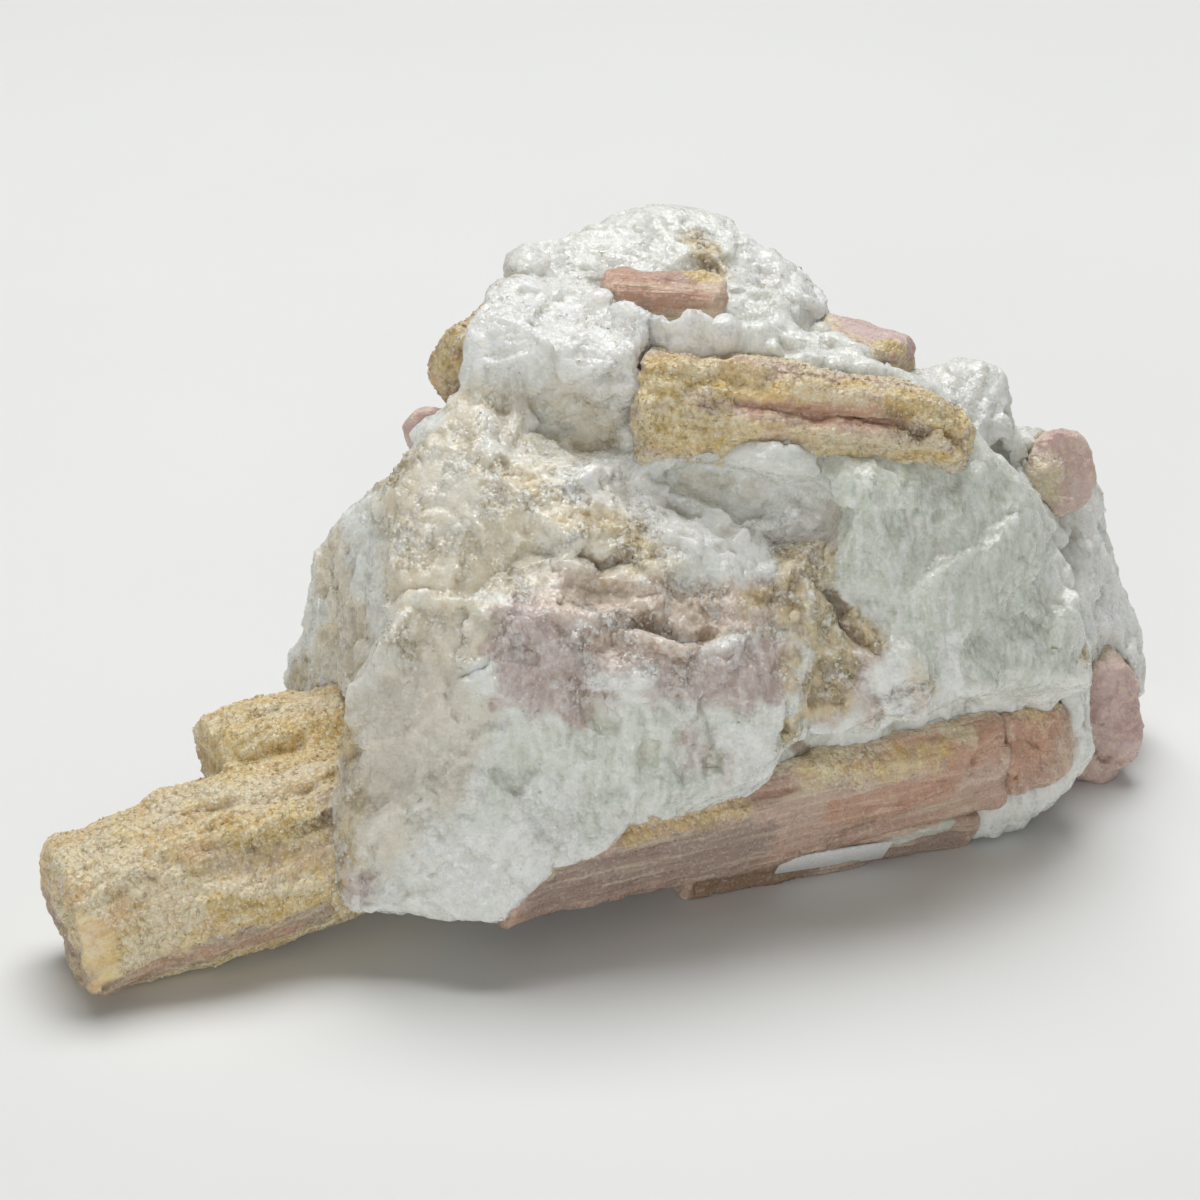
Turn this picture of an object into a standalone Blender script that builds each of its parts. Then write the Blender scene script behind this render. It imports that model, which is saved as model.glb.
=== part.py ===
"""Rubellite in quartz: a broken lump of massive quartz with pink tourmaline prisms grown through it.

Metres, +Z up. The lump is laid out in millimetres in a working frame: +X runs to the right along the
longest side, +Y to the back, and z = 0 is the ground. At the end everything is shifted so that the
origin lies under the middle of the whole specimen.
"""

import math
import random

import bmesh
import bpy
import numpy as np
from mathutils import Matrix, Vector, noise

MM = 0.001
GAP = 0.3
GROUND = 0.0

ROCK_VOXEL = 1.25
ROCK_TRIANGLES = 5600
SWELL_SIZE = 15.0
SWELL_HEIGHT = 1.3
LUMP_SIZE = 5.5
LUMP_HEIGHT = 0.75
CHIP_COUNT = 300
CHIP_RADIUS = (4.0, 10.0)
CHIP_DEPTH = (-0.2, 0.55)
CHIP_TILT = 0.22
CHIP_PUSH = 1.7
CHIP_FADE = 0.25
SPREAD = 0.1

# How uneven the crystals are: the shift of the stations as a share of a side, how quickly the drift, the
# broken ends and the ribs change along a crystal and from side to side, how far the ends stand out in
# millimetres, and how three-sided the cross-section is
STATION_SHIFT = 0.25
STATION_RATE = 9.0
DRIFT_RATE = 3.1
END_RATE = 7.0
END_HEIGHT = 1.1
RIB_RATE = 2.5
SIDE_RATE = 1.7
TRIANGULAR = 0.05

# The sticker, in millimetres, and its middle's place along the crystal and down its flat, as shares of them
LABEL_LENGTH = 15.0
LABEL_WIDTH = 4.4
LABEL_THICKNESS = 0.3
LABEL_PLACE = 0.5
LABEL_DROP = 0.6
LABEL_STANDS_OFF = 0.5

# Corners of the blocks that the lump is broken into, in millimetres. Each block is the hull of its corners.
QUARTZ_BLOCKS = {
    "heart": [
        (-24.5, -26, 12.5), (-10, -25, 10.5), (12, -20, 17.5), (37.5, -8, 16.5), (56.5, 4, 10.5),
        (-24, -17, 40.5), (-5, -19, 44), (24.5, -13, 41), (44, -5, 48), (57, 6, 32),
        (-22.5, 2, 52), (-5, 8, 58.5), (12.5, 9, 65.5), (32.5, 11, 64), (45, 9, 54.5),
        (-30, 24, 10), (-33, 16, 30), (-22, 27, 43.5), (-6, 38, 60), (24, 42, 60), (50, 38, 44),
        (62, 40, 24), (60, 38, 6), (10, 46, 8), (0, 20, 5), (-15, -12, 9),
    ],
    "top_lump": [
        (-12.5, 20, 72), (-6.5, 24, 72), (-2.5, 28, 73), (1.5, 31, 74.5), (5, 33, 75.5),
        (12, 33, 74.5), (18, 33, 72.5), (23, 32, 70), (27.5, 31, 64.5), (32.5, 29, 59),
        (-5, 16, 69), (12.5, 15, 66), (25, 15, 64), (-10, 42, 62), (10, 46, 68), (28, 45, 60),
        (-8, 46, 40), (28, 50, 40),
    ],
    "snow_shoulder": [
        (-16.5, 9, 72.5), (-13.5, 15, 73.2), (-5, 18, 71.5), (0, 14, 71), (7, 8, 69.5), (5, 0, 68.5),
        (-16, 3, 68), (-17, 1, 64), (-5, 0, 68.5), (4, -3, 65), (-12, 14, 48), (5, 22, 60),
    ],
    "ridge_block": [
        (6, 6, 69), (14.5, 7, 70), (23.5, 6, 70), (32, 7, 68), (37.5, 7, 64), (41.5, 6, 60.5),
        (47.5, 0, 56.5), (48, -3, 53), (5, -8, 56), (24, -10, 56), (5, 0, 67), (5, 18, 42),
        (45, 22, 40),
    ],
    "left_shoulder": [
        (-28, -2, 52.5), (-23, -5, 54.5), (-21.5, -2, 57), (-19.5, 3, 60), (-16, 1, 64),
        (-12, -9, 59.5), (0, -9, 58), (5, -9, 56.5), (6.5, -17, 48), (-5, -22, 46.5),
        (-13, -23, 46.5), (-25.5, -21, 44.5), (-25.5, -14, 52), (-30, 12, 38), (0, 12, 42),
    ],
    "left_flank": [
        (-28, 2, 50.5), (-31.5, 4, 46.5), (-34, 6, 40), (-30.5, -2, 47), (-37, 6, 30),
        (-38.5, 6, 25), (-40.5, 5, 20), (-34, -5, 23), (-31, -12, 27), (-25.5, -18, 42.5),
        (-25.5, -11, 51), (-24.5, -3, 52.5), (-30, 22, 40), (-38.5, 22, 18), (-37, 20, 10),
        (-18, 30, 30),
    ],
    "flank_knob": [
        (-34, 7, 39.5), (-37, 8, 37), (-37.5, 8, 32.5), (-36, 6, 30.5), (-33, -2, 36),
        (-31.5, -3, 42), (-34, 0, 29.5), (-32, 16, 38),
    ],
    "flank_rib_low": [
        (-38.5, 7, 24.5), (-38, 7, 28), (-35.5, 4, 31.5), (-33.5, -3, 31), (-34.5, -4, 23),
        (-40.5, 6, 19), (-38, 2, 19.5), (-34, 16, 28),
    ],
    "flank_rib_mid": [
        (-29.5, -9, 44.5), (-31.5, -6, 38), (-33, -7, 31.5), (-33.5, -9, 25), (-30.5, -15, 28),
        (-29, -14, 36), (-27, -13, 45.5), (-26, 6, 34), (-30, 4, 26),
    ],
    "flank_rib_high": [
        (-30.5, 0, 48), (-28, -2, 52), (-24.5, -6, 54), (-24.5, -15, 47.5), (-27.5, -12, 42),
        (-30.5, -6, 43), (-31, -3, 46), (-24, 6, 46),
    ],
    "lower_left_slab": [
        (-25.5, -23, 45.5), (-13, -25, 47.5), (-13, -27, 41), (-14.5, -27, 39), (-29.5, -21, 33),
        (-30.5, -23, 26.5), (-32, -30, 16), (-32, -32, 10), (-30.5, -33, 8.5), (-27, -34, 8.5),
        (-18, -34.5, 8.5), (-14.5, -34, 9.5), (-12, -31, 23), (-25, -5, 40), (-30, -8, 8),
        (-8, -12, 8),
    ],
    "flake_a": [
        (-19, -35, 12), (-14, -34, 9.5), (-12, -33.5, 12), (-7, -33, 14.5), (-6, -32, 19.5),
        (-13, -30.5, 28), (-20.5, -31, 23), (-20.5, -34, 16.5), (-14, -18, 10), (-6, -18, 22),
    ],
    "flake_foot": [
        (-15, -36, 9), (-11.5, -36, 8.8), (-8.5, -35.6, 12.4), (-5.5, -34.8, 15.2), (-13, -35, 17),
        (-15, -26, 12), (-8, -26, 14),
    ],
    "flake_b": [
        (-12, -33, 19), (-6, -32.5, 14.5), (-2.5, -32, 14.5), (1, -31.5, 17), (1.5, -30, 24),
        (-9.5, -29.5, 33), (-4, -16, 12), (4, -14, 24),
    ],
    "flake_c": [
        (-5, -29, 17), (1.5, -28.5, 16.5), (5, -27.5, 19), (14.5, -25.5, 19.5), (15.5, -24, 25),
        (0, -26, 35.5), (4.5, -27, 30), (6, -14, 15), (10, -12, 26),
    ],
    "flake_d": [
        (11, -24.5, 20), (16, -24, 21.5), (20.5, -23, 20), (22.5, -22.5, 20), (24.5, -21, 22.5),
        (23, -20.5, 29), (12, -23, 32.5), (6, -24, 34.5), (16, -10, 18), (18, -10, 28),
    ],
    "lilac_shelf": [
        (-13, -25, 47), (-4.5, -25, 47.5), (-4.5, -27, 44.5), (-13.5, -28, 40), (-12, -29.5, 35),
        (-4.5, -30, 35), (0, -30, 32.5), (1.5, -29, 37), (-8, -8, 34), (4, -8, 30),
    ],
    "brow": [
        (-15.5, -24, 47), (-9.5, -21, 48), (6, -20, 45.5), (21, -18.5, 40.5), (12, -24, 39.5),
        (3, -24.5, 43), (-4, -26, 45), (-4, -4, 40), (20, -4, 40),
    ],
    "lower_centre": [
        (-12, -30.5, 35), (0, -29.5, 35), (12, -27, 33), (22, -24, 31), (-11, -32.5, 16), (1, -30.5, 19),
        (14, -26, 20.5), (22, -22.5, 22), (-8, -10, 14), (18, -8, 18), (0, -10, 30), (18, -8, 30),
    ],
    "centre_block": [
        (4, -26, 40.5), (12, -25, 41), (20.5, -23, 39), (23, -23, 32.5), (0, -29, 38),
        (1, -29.5, 30.5), (12, -27.5, 30.5), (4, -8, 30), (22, -6, 32),
    ],
    "upper_centre": [
        (0, -15, 55), (6, -14, 54.5), (17, -15, 49.5), (24, -14, 49), (23, -18, 43.5),
        (6, -20, 46), (-4.5, -22, 47), (-5, -16, 53), (0, 0, 44), (22, 0, 44),
    ],
    "right_centre": [
        (23, -13, 46.5), (28, -13.5, 46.5), (34, -17.5, 38), (42.5, -17, 32), (44, -13.5, 27.5),
        (40, -15.5, 25.5), (32, -18.5, 24.5), (25.5, -20.5, 24), (22, -22.5, 32), (21.5, -20, 39),
        (20, -4, 40), (42, 4.5, 25),
    ],
    "green_block": [
        (29.5, -11, 54.5), (28.5, -12.5, 46), (34.5, -15.5, 37), (45, -14, 27.5), (60.5, 1, 21),
        (62, 2.5, 22.5), (61, 3.5, 30.5), (58, 4, 40.5), (54, 4, 49), (49.5, 1, 55),
        (47, -2, 56.5), (30, -11, 57), (42.5, -13, 41), (50, -6, 46), (30, 15, 40), (56, 22, 30),
        (50, 16, 14),
    ],
    "right_lip": [
        (36, -4.5, 4.5), (41, -3.5, 1.5), (51.5, 1.5, 0.8), (57.5, 3.5, 1.8), (61.5, 5.5, 4.5),
        (64, 5.5, 10), (63.5, 3.5, 18), (63.5, 8, 21), (40, 16, 4), (56, 22, 10), (58, 14, 24), (62, 14, 8),
    ],
    "hump": [
        (38.5, 20, 57), (42, 23, 57.6), (47.5, 24, 57.8), (53, 25, 56), (54.2, 24, 50),
        (50.5, 12, 49.5), (40, 12, 56.5), (36, 32, 50), (44, 40, 46),
    ],
    "rear_block": [
        (52.5, 22, 50), (58, 27, 47), (62.5, 29, 43.5), (65.5, 30, 37), (67, 31, 29.5),
        (56, 12, 43.5), (60.5, 12, 29.5), (63.5, 12, 16.5), (70.4, 31, 23), (73.2, 31, 14.5),
        (73.8, 31, 5.5), (70.5, 25, 10), (56, 46, 40), (66, 46, 18), (40, 46, 40), (44, 48, 8),
    ],
    "rear_foot": [
        (-16, 32, -1), (-8, 40, -1), (8, 44, -1), (26, 42, -1), (32, 34, -1), (10, 28, -1),
        (-28, 26, 8), (-18, 44, 8), (12, 51, 8), (44, 46, 8), (48, 30, 8), (0, 16, 9),
    ],
    "rear_base": [
        (-34, 30, 10), (-30, 40, 24), (-14, 46, 6), (14, 52, 5), (40, 52, 6), (62, 44, 4),
        (69, 34, 6), (70, 36, 14), (40, 50, 34), (0, 52, 36), (-36, 14, 7), (-23, 33, 38),
        (0, 10, 3), (50, 20, 2),
    ],
}

# Hollows broken out of the lump, each the hull of its corners, in millimetres.
QUARTZ_HOLLOWS = {
    "alcove": [
        (-13.5, -12, 60), (-5, -13, 61), (0.5, -13, 60), (1.5, -9, 63), (-11, -6, 64), (-4, 1, 62),
        (-9, 0, 58), (0, 0, 58), (-12.5, -14, 57), (1, -16, 57), (-4, -2, 57),
    ],
    "recess": [
        (1, -14, 57.5), (10, -16, 58), (24, -17, 56.5), (12, -6, 55.5), (2, -5, 56), (22, -8, 55),
        (4, -18, 53), (16, -19, 51.5), (24, -18, 53), (12, -9, 52), (4, -9, 53),
    ],
    "upper_crevice": [
        (-4, -30, 50), (5, -30, 49), (6, -28, 47), (-4, -28, 48), (0, -16, 48.5), (4, -17, 47.5),
        (-2, -17, 48.5),
    ],
    "middle_crevice": [
        (2, -34, 42.5), (15, -32, 42), (16, -30, 40.5), (3, -32, 41), (6, -19, 41.5),
        (14, -19, 41), (10, -18, 42),
    ],
    "stained_gully": [
        (24, -30, 46), (29, -28, 47), (33, -28, 38), (27, -31, 34), (24, -31, 38), (27, -15, 43),
        (28, -17, 36), (31, -15, 39),
    ],
    "notch": [
        (24, -34, 27), (26.5, -34, 27), (25, -34, 22), (27, -20, 26), (24, -20, 26), (25, -20, 22),
    ],
}

# Each crystal: its two ends and its full width and height in millimetres, the number of its sides, its roll
# about its own axis in degrees and the size of its far end as a share of the near one. ribs and wander are
# the heights of its ribs and the drift of its axis. The underside crystal has a cross-section of its own.
CRYSTALS = {
    "front_crystal": dict(
        ends=((-13, -26.3, 11.5), (48.9, 2, 12.8)), across=(14.5, 14), sides=10, roll=14,
        taper=1.0, ribs=0.35, wander=0.5, stations=9,
    ),
    "front_crystal_end": dict(
        ends=((49.6, 2.4, 13.2), (57.8, 6.4, 14)), across=(13.5, 12.5), sides=9, roll=12,
        taper=0.9, ribs=0.3, wander=0.3, stations=4,
    ),
    "underside_crystal": dict(
        ends=((10, -12.7, 6.2), (46.5, 1.6, 4.4)), taper=0.95, wander=0.2, stations=6,
    ),
    "right_end_crystal": dict(
        ends=((65, 17, 8.8), (59, 50, 9.5)), across=(15, 17.6), sides=10, roll=0,
        taper=0.95, ribs=0.4, wander=0.4, stations=7,
    ),
    "ledge_crystal": dict(
        ends=((4.8, 0.2, 61.5), (44.8, -1.6, 58.2)), across=(16.5, 15.5), sides=11, roll=22,
        taper=0.5, ribs=0.6, wander=0.8, stations=9,
    ),
    "saddle_crystal": dict(
        ends=((0, 18, 68.2), (14.5, 19.5, 66.8)), across=(8.5, 8), sides=8, roll=10,
        taper=0.9, ribs=0.3, wander=0.4, stations=5,
    ),
    "ridge_crystal": dict(
        ends=((37.6, 19.2, 56.2), (7, 47.5, 56)), across=(11, 12), sides=9, roll=5,
        taper=0.95, ribs=0.35, wander=0.5, stations=8,
    ),
    "right_upper_crystal": dict(
        ends=((59.8, 20.5, 43.5), (53, 49, 31)), across=(9.5, 11), sides=9, roll=15,
        taper=1.0, ribs=0.3, wander=0.4, stations=6,
    ),
    "upper_left_crystal": dict(
        ends=((-17, 9.5, 62), (-9, 41, 57)), across=(8.5, 10), sides=8, roll=30,
        taper=1.0, ribs=0.35, wander=0.5, stations=6,
    ),
    "left_edge_crystal": dict(
        ends=((-21.3, 4, 55.8), (-17, 24, 47)), across=(6, 6.5), sides=7, roll=0,
        taper=0.9, ribs=0.2, wander=0.3, stations=4,
    ),
}

# The slanting break that takes the top off the ledge crystal's right end: a point of it and the way it faces
LEDGE_BREAK = ((39.4, -4, 64.3), (0.55, 0.3, 0.78))

# The underside crystal's cross-section, as (towards the back, up) from its axis, in millimetres. The first
# two points are the wide flat that carries the label, and it stands on the flat at the bottom.
UNDERSIDE_SECTION = [
    (-5.2, 1.0), (-2.0, -3.4), (-1.7, -5.7), (2.4, -6.3), (4.8, -2.0), (5.0, 1.6), (2.6, 4.4), (-1.2, 4.8),
    (-4.2, 3.6),
]

# The thick prism at the lower left: its axis, and its cross-section as (towards the back, up) from the
# axis. It is whole near its broken end, and further in a channel runs along its front under a ledge. The
# channel starts and is full at CHANNEL_START, in shares of the length.
LEFT_AXIS = ((-64, -33.5, 8.6), (-24, -14.9, 14))
LEFT_WANDER = 0.3
LEFT_BUMP = 0.35
LEFT_BUMP_RATE = 6.0
LEFT_WHOLE = [
    (-5, -8.6), (-8.6, -5), (-9.4, -1), (-8.8, 2.2), (-8, 4.2), (-6.8, 5.8),
    (-4.8, 7.2), (1, 8.2), (6.5, 6.8), (9, 1.5), (7.5, -5), (1, -8.8),
]
LEFT_CHANNELLED = [
    (-5, -9.3), (-9.4, -5.6), (-10.4, -1.5), (-9.6, 2), (-7, 2.6), (-6.4, 4.4),
    (-6.6, 7), (0, 9), (7, 8), (10, 2), (8, -6), (1, -9.6),
]
CHANNEL_START = (0.18, 0.34)
LEFT_STATIONS = 9

# The shorter prism grown against the back of the thick one.
BACK_PRISM = dict(
    ends=((-47.5, -13.5, 18.4), (-22, -2, 20.4)), across=(14, 12.5), sides=7, roll=18,
    taper=1.0, ribs=0.3, wander=0.3, stations=4,
)

COLOURS = {
    "quartz": ((0.72, 0.74, 0.68, 1.0), 0.5),
    "ochre crust": ((0.62, 0.46, 0.25, 1.0), 0.7),
    "rubellite": ((0.60, 0.31, 0.27, 1.0), 0.45),
    "raspberry rubellite": ((0.56, 0.24, 0.27, 1.0), 0.4),
    "brown crust": ((0.45, 0.31, 0.18, 1.0), 0.7),
    "paper": ((0.85, 0.85, 0.83, 1.0), 0.8),
}

FINISHES = {
    "quartz_matrix": "quartz",
    "left_crystals": "ochre crust",
    "front_crystal": "rubellite",
    "front_crystal_end": "rubellite",
    "underside_crystal": "rubellite",
    "right_end_crystal": "raspberry rubellite",
    "ledge_crystal": "ochre crust",
    "saddle_crystal": "rubellite",
    "ridge_crystal": "raspberry rubellite",
    "right_upper_crystal": "raspberry rubellite",
    "upper_left_crystal": "brown crust",
    "left_edge_crystal": "rubellite",
    "paper_label": "paper",
}


def clear_scene():
    for obj in list(bpy.data.objects):
        bpy.data.objects.remove(obj, do_unlink=True)


def collection(name):
    made = bpy.data.collections.new(name)
    bpy.context.scene.collection.children.link(made)
    return made


def materials():
    made = {}
    for name, (colour, roughness) in COLOURS.items():
        material = bpy.data.materials.new(name)
        material.use_nodes = True
        shader = material.node_tree.nodes["Principled BSDF"]
        shader.inputs["Base Color"].default_value = colour
        shader.inputs["Roughness"].default_value = roughness
        shader.inputs["Metallic"].default_value = 0.0
        made[name] = material
    return made


def object_from(bm, name, home):
    """A mesh object in the collection `home`, still in millimetres."""
    mesh = bpy.data.meshes.new(name)
    bm.to_mesh(mesh)
    bm.free()
    obj = bpy.data.objects.new(name, mesh)
    home.objects.link(obj)
    return obj


def evaluated_mesh(obj):
    bpy.context.view_layer.update()
    graph = bpy.context.evaluated_depsgraph_get()
    return bpy.data.meshes.new_from_object(obj.evaluated_get(graph))


def apply_modifiers(obj):
    mesh = evaluated_mesh(obj)
    obj.modifiers.clear()
    old = obj.data
    obj.data = mesh
    bpy.data.meshes.remove(old)


def add_hull(bm, corners):
    """The convex hull of the corners, added to bm as a closed block."""
    block = bmesh.new()
    for corner in corners:
        block.verts.new(corner)
    hull = bmesh.ops.convex_hull(block, input=block.verts)
    inner = [part for part in hull["geom_interior"] if isinstance(part, bmesh.types.BMVert)]
    bmesh.ops.delete(block, geom=inner, context="VERTS")
    bmesh.ops.recalc_face_normals(block, faces=block.faces)
    mesh = bpy.data.meshes.new("block")
    block.to_mesh(mesh)
    block.free()
    bm.from_mesh(mesh)
    bpy.data.meshes.remove(mesh)


def hulls(blocks, name, home):
    bm = bmesh.new()
    for corners in blocks.values():
        add_hull(bm, corners)
    return object_from(bm, name, home)


def remesh(obj, voxel):
    modifier = obj.modifiers.new("remesh", "REMESH")
    modifier.mode = "VOXEL"
    modifier.voxel_size = voxel
    apply_modifiers(obj)


def cut(obj, cutters, name):
    """Takes each cutter from obj. The exact solver empties the rough lump, so the manifold one is used."""
    for cutter in cutters:
        modifier = obj.modifiers.new(name, "BOOLEAN")
        modifier.operation = "DIFFERENCE"
        modifier.object = cutter
        modifier.solver = "MANIFOLD"
        apply_modifiers(obj)


def hide_helper(obj):
    obj.hide_render = True
    obj.display_type = "WIRE"


def coordinates(mesh, what):
    flat = np.empty(len(mesh.vertices) * 3, np.float32)
    if what == "co":
        mesh.vertices.foreach_get("co", flat)
    else:
        mesh.vertex_normals.foreach_get("vector", flat)
    return flat.reshape(-1, 3).astype(float)


def set_coordinates(mesh, points):
    mesh.vertices.foreach_set("co", points.astype(np.float32).ravel())
    mesh.update()


def lumpiness(point):
    """How far the broken surface swells out at a point, in millimetres."""
    swell = noise.noise(point / SWELL_SIZE) * SWELL_HEIGHT
    lump = noise.noise(point / LUMP_SIZE + Vector((7.0, 3.0, 11.0))) * LUMP_HEIGHT
    return SPREAD + swell + lump


def swell_surface(mesh):
    points = coordinates(mesh, "co")
    normals = coordinates(mesh, "normal")
    heights = np.array([lumpiness(Vector(point)) for point in points])
    set_coordinates(mesh, points + normals * heights[:, None])


def chip_surface(mesh, rng):
    """Knocks flat chips off the surface: what stands above a tilted plane near a point is pressed to it."""
    points = coordinates(mesh, "co")
    normals = coordinates(mesh, "normal")
    for _ in range(CHIP_COUNT):
        index = rng.randrange(len(points))
        tilt = np.array([rng.gauss(0.0, CHIP_TILT) for _ in range(3)])
        facing = normals[index] + tilt
        facing /= np.linalg.norm(facing)
        radius = rng.uniform(*CHIP_RADIUS)
        depth = rng.uniform(*CHIP_DEPTH)
        offset = points - points[index]
        distance = np.linalg.norm(offset, axis=1)
        above = offset @ facing + depth
        fade = np.clip((radius - distance) / (CHIP_FADE * radius), 0.0, 1.0)
        same_side = normals @ facing > 0.2
        push = np.where((above > 0.0) & same_side, above * fade, 0.0)
        push = np.minimum(push, CHIP_PUSH)
        points -= push[:, None] * facing
    set_coordinates(mesh, points)


def decimate(obj, triangles):
    mesh = obj.data
    mesh.calc_loop_triangles()
    modifier = obj.modifiers.new("decimate", "DECIMATE")
    modifier.ratio = min(1.0, triangles / len(mesh.loop_triangles))
    modifier.use_collapse_triangulate = True
    apply_modifiers(obj)


def cut_flat(obj, place, facing):
    """Takes off what lies beyond the plane, on the side it faces, and closes the cut with a flat face."""
    bm = bmesh.new()
    bm.from_mesh(obj.data)
    everything = list(bm.verts) + list(bm.edges) + list(bm.faces)
    bmesh.ops.bisect_plane(
        bm, geom=everything, dist=1e-4, plane_co=place, plane_no=facing, clear_outer=True
    )
    rim = [edge for edge in bm.edges if edge.is_boundary]
    bmesh.ops.holes_fill(bm, edges=rim)
    bmesh.ops.recalc_face_normals(bm, faces=bm.faces)
    bm.to_mesh(obj.data)
    bm.free()


def cut_at_ground(obj):
    cut_flat(obj, (0, 0, GROUND), (0, 0, -1))


def keep_largest_body(obj):
    bm = bmesh.new()
    bm.from_mesh(obj.data)
    left = set(bm.verts)
    bodies = []
    while left:
        first = left.pop()
        body = {first}
        edge_of_body = [first]
        while edge_of_body:
            vert = edge_of_body.pop()
            for edge in vert.link_edges:
                other = edge.other_vert(vert)
                if other not in body:
                    body.add(other)
                    edge_of_body.append(other)
        left -= body
        bodies.append(body)
    bodies.sort(key=len)
    for body in bodies[:-1]:
        bmesh.ops.delete(bm, geom=list(body), context="VERTS")
    bm.to_mesh(obj.data)
    bm.free()


def stationed_prism(sides, stations):
    """A prism one unit long and one unit in radius, cut across into stations, with a point in each end."""
    bm = bmesh.new()
    bmesh.ops.create_cone(
        bm, cap_ends=True, cap_tris=False, segments=sides, radius1=1.0, radius2=1.0, depth=1.0
    )
    caps = [face for face in bm.faces if len(face.verts) == sides]
    bmesh.ops.poke(bm, faces=caps)
    for number in range(1, stations):
        height = number / stations - 0.5
        everything = list(bm.verts) + list(bm.edges) + list(bm.faces)
        bmesh.ops.bisect_plane(bm, geom=everything, plane_co=(0, 0, height), plane_no=(0, 0, 1))
    return bm


def along(ends):
    """The start, the length and the directions (axis, back, up) of a crystal."""
    start = Vector(ends[0])
    axis = Vector(ends[1]) - start
    length = axis.length
    axis.normalize()
    back = Vector((-axis.y, axis.x, 0.0)).normalized()
    up = axis.cross(back)
    return start, length, axis, back, up


def unevenness(*place):
    """Smooth repeatable noise at the place, from -1 to 1."""
    return noise.noise(Vector(place))


def lay_along(bm, ends, section, grow, wander, seed):
    """Moves a stationed prism's points so that its cross-section at each place is section(side, t)."""
    start, length, axis, back, up = along(ends)
    sides = section.sides
    for vert in bm.verts:
        side = round(math.atan2(vert.co.y, vert.co.x) / (2.0 * math.pi / sides)) % sides
        on_rim = math.hypot(vert.co.x, vert.co.y) > 0.5
        at_end = abs(abs(vert.co.z) - 0.5) < 0.001
        t = vert.co.z + 0.5
        beyond = 0.0
        if at_end:
            beyond = math.copysign(grow, vert.co.z)
            beyond += END_HEIGHT * unevenness(seed, side * SIDE_RATE * on_rim, t * END_RATE)
        else:
            t += STATION_SHIFT / sides * unevenness(seed, t * STATION_RATE, 1.0)
        across, height = 0.0, 0.0
        if on_rim:
            across, height = section(side, t)
            reach = math.hypot(across, height)
            across *= 1.0 + grow / reach
            height *= 1.0 + grow / reach
        across += wander * unevenness(t * DRIFT_RATE, seed, 0.0)
        height += wander * unevenness(t * DRIFT_RATE, seed, 5.0)
        vert.co = start + axis * (t * length + beyond) + back * across + up * height
    return bm


class Prism:
    """The ribbed, slightly three-sided cross-section of a tourmaline prism."""

    def __init__(self, spec, seed):
        self.sides = spec["sides"]
        self.half = (spec["across"][0] / 2.0, spec["across"][1] / 2.0)
        self.roll = math.radians(spec["roll"])
        self.taper = spec["taper"]
        self.ribs = spec["ribs"]
        self.seed = seed

    def __call__(self, side, t):
        angle = 2.0 * math.pi * side / self.sides + self.roll
        size = 1.0 + (self.taper - 1.0) * t
        triangular = 1.0 + TRIANGULAR * math.cos(3.0 * angle)
        rib = self.ribs * (1.0 if side % 2 else -0.6)
        rib += self.ribs * unevenness(side * SIDE_RATE, t * RIB_RATE, self.seed)
        reach = size * triangular
        return (
            (self.half[0] * reach + rib) * math.cos(angle),
            (self.half[1] * reach + rib) * math.sin(angle),
        )


class UndersideSection:
    """The cross-section of the underside crystal, with its wide flat for the label."""

    sides = len(UNDERSIDE_SECTION)

    def __init__(self, taper):
        self.taper = taper

    def __call__(self, side, t):
        size = 1.0 + (self.taper - 1.0) * t
        across, height = UNDERSIDE_SECTION[side]
        return across * size, height * size


class LeftSection:
    """The cross-section of the thick left prism, whole at its broken end and channelled further in."""

    sides = len(LEFT_WHOLE)

    def __call__(self, side, t):
        first, last = CHANNEL_START
        share = min(1.0, max(0.0, (t - first) / (last - first)))
        whole = LEFT_WHOLE[side]
        worn = LEFT_CHANNELLED[side]
        bump = LEFT_BUMP * unevenness(side * SIDE_RATE, t * LEFT_BUMP_RATE, 2.0)
        across = whole[0] + (worn[0] - whole[0]) * share
        height = whole[1] + (worn[1] - whole[1]) * share
        reach = math.hypot(across, height)
        return across * (1.0 + bump / reach), height * (1.0 + bump / reach)


def crystal(name, spec, seed, home, grow=0.0):
    section = Prism(spec, seed) if "across" in spec else UndersideSection(spec["taper"])
    bm = stationed_prism(section.sides, spec["stations"])
    lay_along(bm, spec["ends"], section, grow, spec["wander"], seed)
    return object_from(bm, name, home)


def break_ledge_crystal(obj, grow=0.0):
    place, facing = (Vector(part) for part in LEDGE_BREAK)
    cut_flat(obj, place + facing.normalized() * grow, facing)


def left_crystals(name, home, helpers, grow=0.0):
    """The thick channelled prism with the shorter one grown against its back, joined in one solid."""
    bm = stationed_prism(LeftSection.sides, LEFT_STATIONS)
    lay_along(bm, LEFT_AXIS, LeftSection(), grow, LEFT_WANDER, 1.0)
    thick = object_from(bm, name, home)
    short = crystal(name + "_short", BACK_PRISM, 2.0, helpers, grow)
    hide_helper(short)
    modifier = thick.modifiers.new("join", "BOOLEAN")
    modifier.operation = "UNION"
    modifier.object = short
    modifier.solver = "EXACT"
    apply_modifiers(thick)
    return thick


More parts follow.
